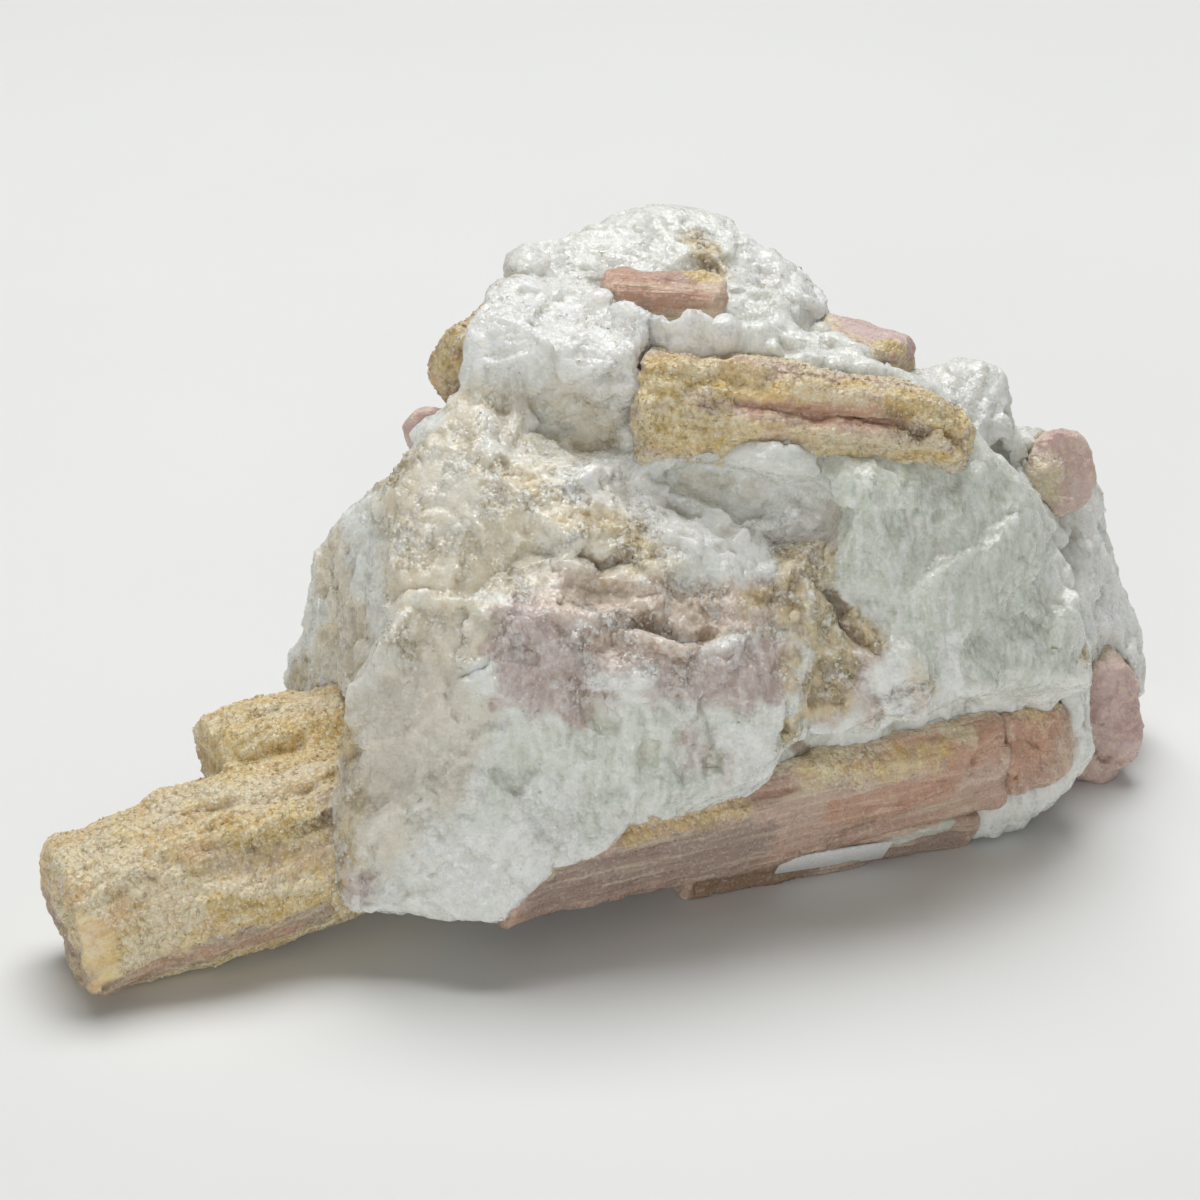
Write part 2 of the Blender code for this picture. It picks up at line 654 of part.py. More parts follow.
def quartz_matrix(home, helpers, crystal_cutters):
    """The lump: joined blocks, hollows broken out of it, a rough surface, and a pocket for each crystal."""
    rock = hulls(QUARTZ_BLOCKS, "quartz_matrix", home)
    remesh(rock, ROCK_VOXEL)
    for name, corners in QUARTZ_HOLLOWS.items():
        hollow = hulls({name: corners}, name, helpers)
        hide_helper(hollow)
        cut(rock, [hollow], name)
    remesh(rock, ROCK_VOXEL)
    swell_surface(rock.data)
    chip_surface(rock.data, random.Random(11))
    remesh(rock, ROCK_VOXEL)
    decimate(rock, ROCK_TRIANGLES)
    cut_at_ground(rock)
    cut(rock, crystal_cutters, "pocket")
    keep_largest_body(rock)
    return rock


def paper_label(home, carrier):
    """The blank sticker, flat on the wide face at the lower front of the underside crystal."""
    start, length, axis, back, up = along(CRYSTALS[carrier]["ends"])
    (top_back, top_up), (low_back, low_up) = UNDERSIDE_SECTION[0], UNDERSIDE_SECTION[1]
    down = (back * (low_back - top_back) + up * (low_up - top_up)).normalized()
    facing = down.cross(axis)
    middle = back * (top_back + (low_back - top_back) * LABEL_DROP)
    middle += up * (top_up + (low_up - top_up) * LABEL_DROP)
    middle += start + axis * (LABEL_PLACE * length) + facing * LABEL_STANDS_OFF
    tilt = Matrix((axis, facing.cross(axis), facing)).transposed()
    bm = bmesh.new()
    bmesh.ops.create_cube(bm, size=1.0)
    bmesh.ops.scale(bm, vec=(LABEL_LENGTH, LABEL_WIDTH, LABEL_THICKNESS), verts=bm.verts)
    bmesh.ops.rotate(bm, matrix=tilt, verts=bm.verts)
    bmesh.ops.translate(bm, vec=middle, verts=bm.verts)
    return object_from(bm, "paper_label", home)


def finish_pieces(pieces):
    """Turns millimetres into metres and puts the origin on the ground under the middle of the whole."""
    points = np.concatenate([coordinates(piece.data, "co") for piece in pieces])
    low, high = points.min(axis=0), points.max(axis=0)
    middle = np.array([(low[0] + high[0]) / 2.0, (low[1] + high[1]) / 2.0, low[2]])
    made = materials()
    for piece in pieces:
        set_coordinates(piece.data, (coordinates(piece.data, "co") - middle) * MM)
        piece.data.materials.clear()
        piece.data.materials.append(made[FINISHES[piece.name]])


def main():
    clear_scene()
    home = collection("rubellite in quartz")
    helpers = collection("cutters")
    pieces = {"left_crystals": left_crystals("left_crystals", home, helpers)}
    pockets = {"left_crystals": left_crystals("left_pocket", helpers, helpers, GAP)}
    for seed, (name, spec) in enumerate(CRYSTALS.items(), start=3):
        pieces[name] = crystal(name, spec, float(seed), home)
        pockets[name] = crystal(name + "_pocket", spec, float(seed), helpers, GAP)
    break_ledge_crystal(pieces["ledge_crystal"])
    break_ledge_crystal(pockets["ledge_crystal"], GAP)
    for pocket in pockets.values():
        hide_helper(pocket)
    for piece in pieces.values():
        cut_at_ground(piece)
    cut(pieces["underside_crystal"], [pockets["front_crystal"]], "grown against")
    rock = quartz_matrix(home, helpers, pockets.values())
    label = paper_label(home, "underside_crystal")
    finish_pieces([*pieces.values(), rock, label])
    for helper in list(helpers.objects):
        bpy.data.objects.remove(helper, do_unlink=True)


main()
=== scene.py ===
"""Rubellite in quartz: a rough hand specimen, its broken stone, crusts and striated crystals over the solid model."""

import itertools
import math
from collections import namedtuple

import bpy
import numpy as np
from bpy.props import FloatProperty, FloatVectorProperty, IntProperty, PointerProperty
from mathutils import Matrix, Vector
from mathutils.bvhtree import BVHTree
from mathutils.kdtree import KDTree


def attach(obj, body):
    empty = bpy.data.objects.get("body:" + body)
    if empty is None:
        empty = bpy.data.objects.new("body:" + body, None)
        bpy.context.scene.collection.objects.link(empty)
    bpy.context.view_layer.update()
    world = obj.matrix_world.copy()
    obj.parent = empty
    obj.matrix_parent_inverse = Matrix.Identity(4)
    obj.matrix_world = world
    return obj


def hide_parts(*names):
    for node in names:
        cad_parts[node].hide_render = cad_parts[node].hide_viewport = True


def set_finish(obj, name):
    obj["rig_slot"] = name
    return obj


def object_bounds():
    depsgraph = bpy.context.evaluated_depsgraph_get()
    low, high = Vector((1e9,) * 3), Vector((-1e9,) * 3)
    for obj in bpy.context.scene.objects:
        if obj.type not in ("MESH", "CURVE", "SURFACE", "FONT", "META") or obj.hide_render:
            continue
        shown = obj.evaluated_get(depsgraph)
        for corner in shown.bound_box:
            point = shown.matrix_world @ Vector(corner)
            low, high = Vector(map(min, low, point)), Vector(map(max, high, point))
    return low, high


bl_info = {
    "name": "Rubellite in Quartz",
    "version": (1, 0, 0),
    "blender": (4, 5, 0),
    "location": "3D View > Sidebar > Specimen",
    "description": "Dresses the solid model of a rubellite and quartz specimen with broken stone and crystals",
    "category": "Add Mesh",
}

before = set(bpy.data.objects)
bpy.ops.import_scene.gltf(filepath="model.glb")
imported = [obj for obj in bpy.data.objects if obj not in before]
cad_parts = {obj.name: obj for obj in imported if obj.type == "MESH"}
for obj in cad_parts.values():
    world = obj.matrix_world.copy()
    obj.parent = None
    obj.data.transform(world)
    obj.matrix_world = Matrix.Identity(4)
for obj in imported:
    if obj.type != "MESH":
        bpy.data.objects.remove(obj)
CAD_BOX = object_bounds()

MM = 0.001
BODY = "root"

# The photograph's view of the specimen, in millimetres
PHOTO_SIDE = 1200
CAMERA_TARGET = Vector((-2.61, -5.32, 35.0))
CAMERA_DISTANCE = 500.0
CAMERA_ELEVATION = math.radians(25)
LENS = 120.0
SENSOR = 36.0

LOOK = Vector((0, math.cos(CAMERA_ELEVATION), -math.sin(CAMERA_ELEVATION)))
RIGHT = Vector((1, 0, 0))
UP = RIGHT.cross(LOOK)
EYE = CAMERA_TARGET - LOOK * CAMERA_DISTANCE

# A ridge, knob or groove. The path is in the photograph's pixels, the width is how many millimetres the mark reaches
# to each side of it, and the amount is the height in millimetres, below 0 for a groove
Mark = namedtuple("Mark", "path width amount")

# A stretch of one finish. The path is in the photograph's pixels, or in millimetres where it has three numbers
Finish = namedtuple("Finish", "name path width amount")

QUARTZ_RELIEF = [
    # Rounded quartz lumps in the alcove left of the ledge crystal
    Mark([(530, 425)], 2.0, 0.9),
    Mark([(552, 418)], 2.6, 1.4),
    Mark([(576, 404)], 2.0, 0.9),
    Mark([(598, 392)], 2.2, 0.9),
    Mark([(545, 446)], 1.8, 0.8),
    Mark([(566, 440)], 1.8, 1.0),
    Mark([(588, 430)], 2.0, 1.0),
    Mark([(611, 412)], 2.2, 1.0),
    Mark([(622, 394)], 1.8, 0.8),
    Mark([(604, 444)], 1.6, 0.8),
    Mark([(506, 402), (500, 440)], 2.2, -1.2),
    Mark([(535, 398), (560, 388), (590, 378), (622, 372)], 1.6, -0.9),
    # Under the ledge crystal: the undercut recess and the lip below it
    Mark([(606, 468), (660, 474), (720, 482), (778, 474)], 1.6, -0.7),
    Mark([(650, 500), (690, 505), (740, 530), (790, 510)], 3.6, 1.6),
    Mark([(560, 490), (585, 476), (610, 470)], 1.6, 0.8),
    Mark([(640, 492), (665, 507), (700, 516), (722, 530), (745, 520), (768, 505)], 1.5, -0.9),
    Mark([(660, 532), (700, 545), (735, 540), (775, 518)], 2.0, 0.9),
    # Quartz that rises over the lower edge of the saddle crystal, and over the ledge crystal's left end
    Mark([(596, 308), (630, 328), (665, 337), (722, 338)], 2.8, 2.4),
    Mark([(590, 268), (596, 286)], 2.0, 1.6),
    Mark([(628, 352), (626, 400), (624, 440)], 2.2, 1.2),
    Mark([(640, 342), (660, 338), (690, 336)], 2.4, 1.4),
    Mark([(700, 337), (760, 336), (830, 342), (880, 352)], 2.0, 1.2),
    Mark([(998, 430), (1010, 450)], 2.4, 1.6),
    Mark([(795, 318), (826, 330)], 2.4, -1.3),
    # Granular slope with its cavity and the sugary rim below
    Mark([(505, 470), (530, 484), (556, 470)], 1.8, -0.9),
    Mark([(585, 552), (604, 565), (624, 560)], 1.8, -1.7),
    Mark([(505, 577), (532, 566), (560, 561), (590, 577), (622, 583), (662, 592)], 1.4, 0.9),
    Mark([(545, 520), (580, 535), (610, 528)], 1.8, 0.7),
    # Shelf block at the left
    Mark([(388, 608), (430, 602), (480, 602), (490, 614)], 1.5, 1.1),
    Mark([(390, 592), (440, 588), (484, 586)], 1.4, -1.0),
    Mark([(499, 612), (494, 650), (483, 672)], 1.3, -1.2),
    Mark([(480, 668), (458, 680), (446, 702)], 0.9, -0.8),
    Mark([(500, 722), (468, 752), (440, 776), (400, 802), (372, 828)], 1.6, 0.9),
    Mark([(452, 738), (428, 790), (410, 806)], 1.0, -0.7),
    # Corner between the front face and the left flank, and the flank's ribs
    Mark([(386, 606), (372, 650), (357, 692), (347, 745), (335, 850)], 1.6, 0.8),
    Mark([(348, 545), (336, 640), (330, 700)], 1.3, -1.2),
    Mark([(368, 515), (360, 600), (350, 690)], 1.3, -1.0),
    Mark([(324, 590), (316, 665)], 1.2, -1.0),
    # Wavy pink layers across the middle
    Mark([(560, 612), (600, 619), (640, 609), (700, 602), (760, 612)], 1.5, 0.9),
    Mark([(575, 641), (610, 633), (640, 640), (690, 650), (740, 645)], 1.3, 0.8),
    Mark([(620, 628), (655, 627), (684, 640), (712, 634)], 1.3, -1.6),
    Mark([(560, 606), (566, 640), (590, 672), (602, 690)], 1.3, -0.9),
    Mark([(600, 684), (650, 678)], 1.2, 0.7),
    # The ochre wedge and its crevice
    Mark([(803, 562), (812, 600), (806, 650), (800, 700)], 3.2, 1.6),
    Mark([(826, 586), (842, 606), (840, 624), (858, 638), (876, 652)], 1.4, -1.8),
    Mark([(747, 604), (775, 586), (800, 566)], 1.4, 0.9),
    Mark([(776, 625), (784, 680), (786, 735)], 1.4, -1.1),
    Mark([(852, 645), (872, 690), (900, 725)], 1.8, -0.8),
    Mark([(905, 655), (922, 680), (920, 710)], 2.4, 0.9),
    Mark([(946, 640), (958, 668), (962, 690)], 1.6, 0.7),
    # The fibrous mass above the front crystal
    Mark([(640, 705), (650, 760), (640, 812)], 1.4, -0.8),
    Mark([(560, 712), (600, 735), (640, 742)], 2.0, 0.8),
    Mark([(700, 700), (716, 745), (700, 795)], 1.4, -0.7),
    # Right edge of the green block
    Mark([(1012, 442), (1042, 492), (1058, 540), (1070, 600)], 1.4, 0.7),
    Mark([(1030, 450), (1062, 510), (1082, 600)], 1.4, -0.9),
]

QUARTZ_FINISHES = [
    # Cream granular slope and shelf
    Finish("cream", [(410, 500), (470, 520), (540, 500), (600, 520)], 9.0, 1.0),
    Finish("cream", [(400, 560), (480, 560), (560, 545), (640, 560)], 7.0, 1.0),
    Finish("cream", [(400, 630), (470, 625)], 5.0, 0.9),
    Finish("cream", [(470, 400), (450, 450)], 4.0, 0.8),
    Finish("cream", [(560, 400), (600, 430), (540, 450)], 4.0, 0.7),
    Finish("cream", [(330, 560), (350, 640), (340, 720)], 6.0, 0.9),
    Finish("cream", [(650, 590), (720, 610)], 3.5, 0.7),
    # Translucent grey quartz
    Finish("grey", [(420, 690), (390, 760), (360, 820)], 7.0, 1.0),
    Finish("grey", [(505, 405), (520, 440)], 3.4, 0.9),
    Finish("grey", [(560, 395), (610, 385)], 3.0, 0.6),
    Finish("grey", [(690, 484), (745, 490)], 2.4, 0.5),
    Finish("grey", [(470, 720), (440, 790)], 4.0, 0.7),
    # Lilac quartz
    Finish("lilac", [(525, 620), (530, 680), (580, 690)], 4.6, 1.0),
    Finish("lilac", [(570, 640), (640, 655)], 3.4, 0.8),
    Finish("lilac", [(670, 670), (730, 680), (770, 665)], 4.4, 1.0),
    Finish("lilac", [(820, 700), (870, 690), (860, 650)], 3.4, 0.8),
    Finish("lilac", [(790, 540), (830, 525)], 3.6, 0.6),
    Finish("lilac", [(560, 700), (580, 710)], 2.6, 0.9),
    Finish("lilac", [(720, 770), (690, 740)], 3.0, 0.5),
    # Pink sugary layers
    Finish("pink", [(560, 600), (640, 602), (720, 615), (780, 600)], 3.6, 1.0),
    Finish("pink", [(600, 640), (680, 645)], 2.6, 0.8),
    Finish("pink", [(880, 710), (910, 690)], 3.6, 0.7),
    Finish("pink", [(600, 575), (560, 580)], 2.4, 0.6),
    # Ochre stain
    Finish("ochre", [(803, 562), (815, 610), (835, 640), (825, 690)], 4.2, 1.0),
    Finish("ochre", [(770, 590), (745, 602)], 2.0, 0.8),
    Finish("ochre", [(790, 660), (788, 735)], 1.8, 0.9),
    Finish("ochre", [(870, 640), (850, 620)], 2.4, 0.9),
    Finish("ochre", [(575, 520), (630, 525), (640, 560)], 2.6, 0.6),
    Finish("ochre", [(510, 470), (545, 490)], 2.2, 0.6),
    Finish("ochre", [(700, 240), (714, 270), (712, 305)], 2.8, 0.8),
    Finish("ochre", [(300, 680), (335, 700), (345, 740)], 3.6, 0.8),
    Finish("ochre", [(370, 480), (400, 470)], 3.4, 0.7),
    Finish("ochre", [(1080, 660), (1086, 650)], 1.4, 0.9),
    Finish("ochre", [(915, 668), (930, 690)], 1.6, 0.6),
    Finish("ochre", [(500, 275), (485, 290)], 2.0, 0.9),
    Finish("ochre", [(340, 880), (345, 845), (352, 800)], 3.0, 0.6),
    Finish("ochre", [(330, 700), (322, 760), (322, 800)], 2.2, 0.8),
    Finish("grey", [(352, 640), (360, 720), (352, 790)], 6.0, 0.8),
    Finish("lilac", [(335, 855), (352, 885)], 3.0, 0.8),
    # Dark crevices
    Finish("brown", [(585, 554), (606, 564), (624, 560)], 1.6, 0.6),
    Finish("brown", [(640, 622), (665, 632), (690, 640), (712, 634)], 1.3, 0.7),
    Finish("brown", [(828, 590), (841, 606), (840, 624), (858, 638)], 1.0, 0.9),
    Finish("brown", [(345, 760), (352, 800), (330, 830)], 2.0, 0.4),
    Finish("brown", [(797, 745), (806, 755)], 1.2, 0.9),
    # Pale green blocks
    Finish("green", [(880, 520), (960, 520), (1020, 560)], 11.0, 1.0),
    Finish("green", [(950, 620), (1030, 640)], 9.0, 1.0),
    Finish("green", [(540, 770), (620, 760), (700, 760)], 8.0, 0.8),
    Finish("green", [(500, 840), (580, 810)], 6.0, 0.5),
    Finish("snow", [(1100, 540), (1120, 640)], 8.0, 0.8),
    Finish("green", [(960, 390), (1000, 400)], 4.0, 0.5),
    # Snow white
    Finish("snow", [(500, 310), (560, 300), (620, 330)], 9.0, 1.0),
    Finish("snow", [(700, 330), (800, 335), (870, 355)], 4.0, 1.0),
    Finish("snow", [(580, 480), (620, 468)], 3.0, 0.9),
    Finish("snow", [(640, 500), (700, 530), (750, 535), (790, 505)], 5.0, 0.9),
    Finish("snow", [(930, 385), (985, 395)], 5.0, 0.9),
    Finish("snow", [(740, 240), (790, 280), (820, 310)], 5.0, 0.9),
    Finish("snow", [(560, 790), (500, 850), (460, 870)], 4.0, 0.7),
    Finish("snow", [(1040, 790), (1075, 740)], 2.4, 0.8),
    Finish("snow", [(600, 684), (650, 678)], 1.4, 0.9),
    Finish("snow", [(950, 650), (962, 685)], 2.2, 1.0),
    Finish("snow", [(880, 680), (900, 700)], 2.6, 0.9),
    Finish("snow", [(740, 740), (760, 780)], 3.0, 0.8),
    Finish("snow", [(560, 850), (480, 880), (430, 870)], 3.4, 0.7),
    Finish("snow", [(1040, 790), (960, 822)], 3.0, 0.9),
    # The sides that the photograph does not show
    Finish("cream", [(-30, 20, 30), (-25, 30, 45)], 14.0, 0.8),
    Finish("green", [(20, 45, 35), (-5, 42, 30)], 18.0, 0.8),
    Finish("lilac", [(10, 45, 20), (30, 45, 14)], 7.0, 0.9),
    Finish("ochre", [(-20, 40, 40), (-12, 42, 30)], 4.0, 0.8),
    Finish("grey", [(-35, 20, 15), (-25, 35, 12)], 8.0, 0.8),
    Finish("pink", [(12, 40, 26), (28, 44, 22)], 5.0, 0.8),
    Finish("green", [(55, 25, 30), (60, 35, 25)], 12.0, 0.9),
]

# How rough and how sugary each finish is
ROUGH_SHARES = {"cream": 0.3, "lilac": 0.25, "pink": 0.65, "ochre": 0.6, "snow": 0.15, "green": 0.1}
SUGAR_SHARES = {"cream": 0.75, "lilac": 0.5, "pink": 1.0, "ochre": 1.0, "snow": 0.3}
FINISH_NAMES = ["cream", "grey", "green", "lilac", "pink", "snow", "ochre", "brown"]

# The tourmaline crystals. rounding is how many times a crystal's edges are softened, swell is how many millimetres
# its surface then moves out, and striation is the height in millimetres of the grooves along it
Crystal = namedtuple("Crystal", "node name slot look triangles rounding swell striation relief finishes")

CRYSTALS = [
    Crystal("left_crystals", "left_prisms", "ochre_crust", "straw_crusted", 130000, 40, 0.6, 0.35, [
        Mark([(165, 812), (230, 806), (300, 790), (350, 770)], 1.6, -0.9),
        Mark([(205, 850), (250, 844), (300, 829), (340, 818)], 1.5, -1.1),
        Mark([(180, 880), (225, 890), (275, 893), (325, 880)], 1.6, 0.7),
        Mark([(150, 800), (190, 790), (240, 800)], 2.2, 0.7),
        Mark([(120, 880), (150, 870)], 2.4, 0.8),
        Mark([(100, 850), (130, 838)], 2.0, -0.6),
        Mark([(78, 905), (90, 950), (98, 985)], 1.4, 0.5),
        Mark([(36, 862), (45, 905)], 2.2, -0.9),
        Mark([(66, 930), (60, 965)], 2.4, -1.2),
        Mark([(325, 800), (338, 826)], 2.0, -0.9),
        Mark([(200, 752), (240, 760), (300, 745)], 1.6, -0.8),
        Mark([(215, 724), (290, 712)], 1.8, -0.6),
    ], [
        Finish("ochre", [(215, 770), (280, 745), (340, 740)], 4.0, 0.7),
        Finish("ochre", [(230, 830), (300, 815)], 2.4, 0.9),
        Finish("ochre", [(210, 905), (280, 908), (318, 890)], 2.4, 1.0),
        Finish("ochre", [(230, 745), (210, 752), (240, 715)], 4.0, 0.9),
        Finish("ochre", [(110, 835), (150, 845), (110, 860)], 3.0, 0.4),
        Finish("ochre", [(90, 960), (160, 935)], 1.6, 0.7),
        Finish("snow", [(95, 850), (140, 880), (190, 905), (150, 940)], 3.0, 0.9),
        Finish("snow", [(215, 725), (290, 708), (340, 700)], 1.6, 0.7),
        Finish("snow", [(230, 800), (280, 790)], 2.2, 0.6),
        Finish("snow", [(60, 870), (120, 855), (150, 885)], 3.0, 0.8),
        Finish("snow", [(160, 880), (190, 910)], 2.6, 0.7),
        Finish("snow", [(170, 800), (240, 790), (320, 765)], 1.6, 0.8),
        Finish("snow", [(200, 884), (260, 888), (310, 884)], 1.4, 0.9),
        Finish("snow", [(85, 910), (95, 950)], 1.8, 0.6),
        Finish("lilac", [(210, 862), (260, 860), (330, 850)], 2.0, 0.5),
        Finish("lilac", [(50, 905), (60, 945), (85, 975)], 4.0, 0.7),
        Finish("lilac", [(330, 800), (345, 840)], 2.4, 0.7),
        # The real mauve-pink underside strip, darkened further as painted shade
        Finish("lilac", [(110, 988), (180, 960), (245, 936), (320, 915)], 2.4, 1.0),
        Finish("brown", [(310, 812), (338, 825)], 1.8, 0.3),
        Finish("pink", [(130, 978), (200, 952), (300, 927)], 1.6, 0.5),
    ]),
    Crystal("front_crystal", "front_rubellite", "rubellite", "rubellite", 90000, 14, 0.45, 0.16, [
        Mark([(800, 770), (880, 768), (990, 735)], 2.4, 0.7),
        Mark([(560, 872), (660, 850), (780, 815), (1000, 768)], 1.2, -0.4),
        Mark([(735, 800), (790, 792)], 1.8, -0.8),
        Mark([(890, 822), (960, 805), (1000, 790)], 1.0, -0.4),
        Mark([(995, 735), (1006, 775)], 1.2, -0.9),
        Mark([(893, 839), (940, 828), (1000, 806)], 1.1, 0.6),
    ], [
        Finish("lilac", [(480, 912), (560, 885), (660, 862), (740, 850)], 5.0, 1.0),
        Finish("lilac", [(860, 815), (905, 806)], 1.6, 0.6),
        Finish("ochre", [(600, 838), (650, 828), (740, 808)], 1.8, 0.6),
        Finish("ochre", [(810, 765), (870, 766), (940, 752)], 2.6, 0.6),
        Finish("pink", [(840, 812), (940, 790), (1010, 775)], 2.6, 0.9),
        Finish("pink", [(900, 745), (960, 735), (1000, 735)], 3.4, 0.8),
        Finish("snow", [(830, 775), (860, 782)], 1.3, 0.6),
        Finish("snow", [(945, 728), (968, 735)], 1.5, 0.9),
        Finish("snow", [(640, 822), (715, 806)], 1.0, 0.6),
        Finish("brown", [(790, 748), (806, 752)], 1.4, 0.8),
        Finish("brown", [(700, 884), (780, 870), (880, 845)], 1.4, 0.5),
    ]),
    Crystal("front_crystal_end", "front_rubellite_end", "rubellite", "rubellite", 26000, 14, 0.45, 0.15, [], [
        Finish("pink", [(1020, 760), (1040, 730), (1070, 705)], 3.6, 1.0),
        Finish("ochre", [(1020, 712), (1050, 700)], 2.0, 0.5),
    ]),
    Crystal("underside_crystal", "underside_rubellite", "rubellite", "rubellite", 34000, 12, 0.4, 0.25, [], [
        Finish("lilac", [(720, 880), (860, 865), (950, 840)], 5.0, 0.8),
        Finish("brown", [(700, 890), (780, 880), (850, 872)], 2.6, 0.9),
        Finish("green", [(893, 841), (940, 831), (990, 815)], 1.0, 1.0),
    ]),
    Crystal("right_end_crystal", "right_rubellite", "raspberry_rubellite", "raspberry", 34000, 14, 0.3, 0.3, [], []),
    Crystal("ledge_crystal", "ledge_rubellite", "ochre_crust", "ledge_crusted", 120000, 40, 0.5, 0.4, [
        Mark([(640, 352), (668, 350), (700, 346)], 2.6, -0.9),
        Mark([(640, 360), (636, 400)], 2.0, -0.6),
        Mark([(740, 345), (800, 346), (860, 354), (890, 366)], 2.6, -1.2),
        Mark([(634, 448), (640, 440)], 2.6, -1.4),
        Mark([(645, 405), (652, 425)], 2.4, 0.9),
        Mark([(682, 368)], 1.8, 0.9),
        Mark([(668, 398)], 1.6, 0.8),
        Mark([(700, 392), (722, 386)], 1.5, 0.9),
        Mark([(735, 368), (765, 372)], 1.8, 0.8),
        Mark([(790, 380), (830, 385)], 1.6, 0.7),
        Mark([(660, 440), (690, 446)], 1.8, 0.8),
        Mark([(720, 452), (760, 456)], 1.6, 0.7),
        Mark([(905, 422), (922, 434)], 1.9, -1.3),
        Mark([(950, 436), (962, 448)], 1.4, -1.0),
        Mark([(740, 405), (800, 413), (885, 420)], 1.5, -1.2),
        Mark([(730, 432), (800, 430), (885, 432)], 1.0, 0.5),
        Mark([(745, 442), (820, 442), (880, 446)], 1.0, -0.6),
        Mark([(690, 388), (730, 380), (760, 388)], 1.6, -0.8),
        Mark([(700, 368), (780, 368), (860, 382)], 1.8, 0.7),
        Mark([(800, 452), (880, 458), (960, 456)], 1.4, 0.8),
        Mark([(895, 388), (940, 410), (972, 435)], 1.6, 0.8),
        Mark([(680, 430), (700, 440)], 2.4, 0.7),
        Mark([(985, 460), (992, 440)], 2.4, -1.2),
    ], [
        Finish("lilac", [(790, 412), (880, 424)], 1.6, 0.9),
        Finish("pink", [(755, 400), (820, 410), (885, 418)], 2.6, 0.8),
        Finish("pink", [(770, 438), (800, 450)], 2.2, 0.8),
        Finish("pink", [(735, 365), (820, 362)], 2.0, 0.5),
        Finish("ochre", [(655, 385), (670, 430), (720, 440)], 3.6, 0.9),
        Finish("ochre", [(715, 385), (770, 392), (860, 385)], 1.8, 0.9),
        Finish("ochre", [(820, 458), (960, 458)], 1.5, 1.0),
        Finish("ochre", [(900, 398), (950, 420), (980, 450)], 2.2, 0.9),
        Finish("snow", [(640, 350), (700, 345), (760, 342), (860, 352), (900, 372)], 2.6, 1.0),
        Finish("ochre", [(660, 366), (700, 372), (745, 380)], 2.6, 0.9),
        Finish("snow", [(640, 350), (636, 400), (640, 450)], 1.6, 0.9),
        Finish("snow", [(700, 372), (760, 360), (840, 364)], 1.5, 0.7),
        Finish("snow", [(800, 388), (860, 396)], 1.6, 0.7),
        Finish("snow", [(850, 442), (890, 446)], 1.5, 0.9),
        Finish("snow", [(660, 405), (690, 415), (735, 425)], 1.8, 0.6),
        Finish("green", [(645, 346), (700, 344), (760, 343), (860, 350), (885, 362)], 2.6, 0.9),
        Finish("brown", [(890, 415), (905, 432), (925, 436)], 1.5, 0.6),
    ]),
    Crystal("saddle_crystal", "saddle_rubellite", "rubellite", "rubellite", 20000, 16, 0.3, 0.1, [
        Mark([(602, 272), (600, 300)], 2.6, -1.8),
        Mark([(660, 278), (700, 276)], 2.0, 0.6),
    ], [
        Finish("pink", [(610, 280), (660, 298), (700, 305)], 3.0, 0.7),
        Finish("ochre", [(690, 272), (714, 280)], 1.6, 0.9),
        Finish("lilac", [(610, 290), (650, 305), (695, 308)], 2.4, 0.9),
        Finish("snow", [(600, 306), (650, 324), (715, 326)], 1.0, 0.8),
    ]),
    Crystal("ridge_crystal", "ridge_rubellite", "raspberry_rubellite", "raspberry", 26000, 20, 0.3, 0.3, [], [
        Finish("ochre", [(880, 345), (900, 352)], 1.6, 0.8),
        Finish("ochre", [(900, 365), (918, 382)], 2.6, 0.6),
    ]),
    Crystal("right_upper_crystal", "right_upper_rubellite", "raspberry_rubellite", "raspberry", 26000, 20, 0.1, 0.3, [], [
        Finish("snow", [(1032, 440), (1042, 480), (1060, 515)], 2.6, 1.0),
        Finish("snow", [(1090, 505), (1098, 520)], 2.0, 0.8),
    ]),
    Crystal("upper_left_crystal", "upper_left_tourmaline", "brown_crust", "brown_crusted", 26000, 20, 0.3, 0.3, [], [
        Finish("ochre", [(460, 330), (455, 370)], 4.0, 0.6),
        Finish("brown", [(470, 350), (476, 330)], 2.0, 0.8),
    ]),
    Crystal("left_edge_crystal", "left_edge_rubellite", "rubellite", "raspberry", 14000, 14, 0.3, 0.2, [], []),
]
CRYSTAL_NODES = [crystal.node for crystal in CRYSTALS]
STRETCH = 14.0


def smooth_step(low, high, value):
    """0 at low, 1 at high and a soft rise between them."""
    share = np.clip((value - low) / (high - low), 0.0, 1.0)
    return share * share * (3 - 2 * share)


def lattice_hash(cells, seed):
    """A repeatable whole number for each lattice cell."""
    mixed = cells[:, 0] * 374761393 + cells[:, 1] * 668265263 + cells[:, 2] * 1103515245 + seed * 1274126177
    mixed = (mixed ^ (mixed >> 13)) * 1274126177
    return mixed ^ (mixed >> 16)


def lumps(points, size, seed):
    """Smooth noise from about -1 to 1 at the points, its lumps about size across."""
    scaled = points / size
    cells = np.floor(scaled).astype(np.int64)
    inside = scaled - cells
    fade = inside ** 3 * (inside * (inside * 6 - 15) + 10)
    total = np.zeros(len(points))
    for corner in itertools.product((0, 1), repeat=3):
        number = lattice_hash(cells + corner, seed)
        slope = np.stack([(number >> shift & 255) / 127.5 - 1 for shift in (0, 8, 16)], axis=1)
        weight = np.prod(np.where(corner, fade, 1 - fade), axis=1)
        total += weight * ((inside - corner) * slope).sum(axis=1)
    return total * 1.3


def rough(points, size, seed, octaves=3):
    """Noise with finer and finer lumps."""
    total = np.zeros(len(points))
    for octave in range(octaves):
        total += lumps(points, size * 0.5 ** octave, seed + octave) * 0.5 ** octave
    return total


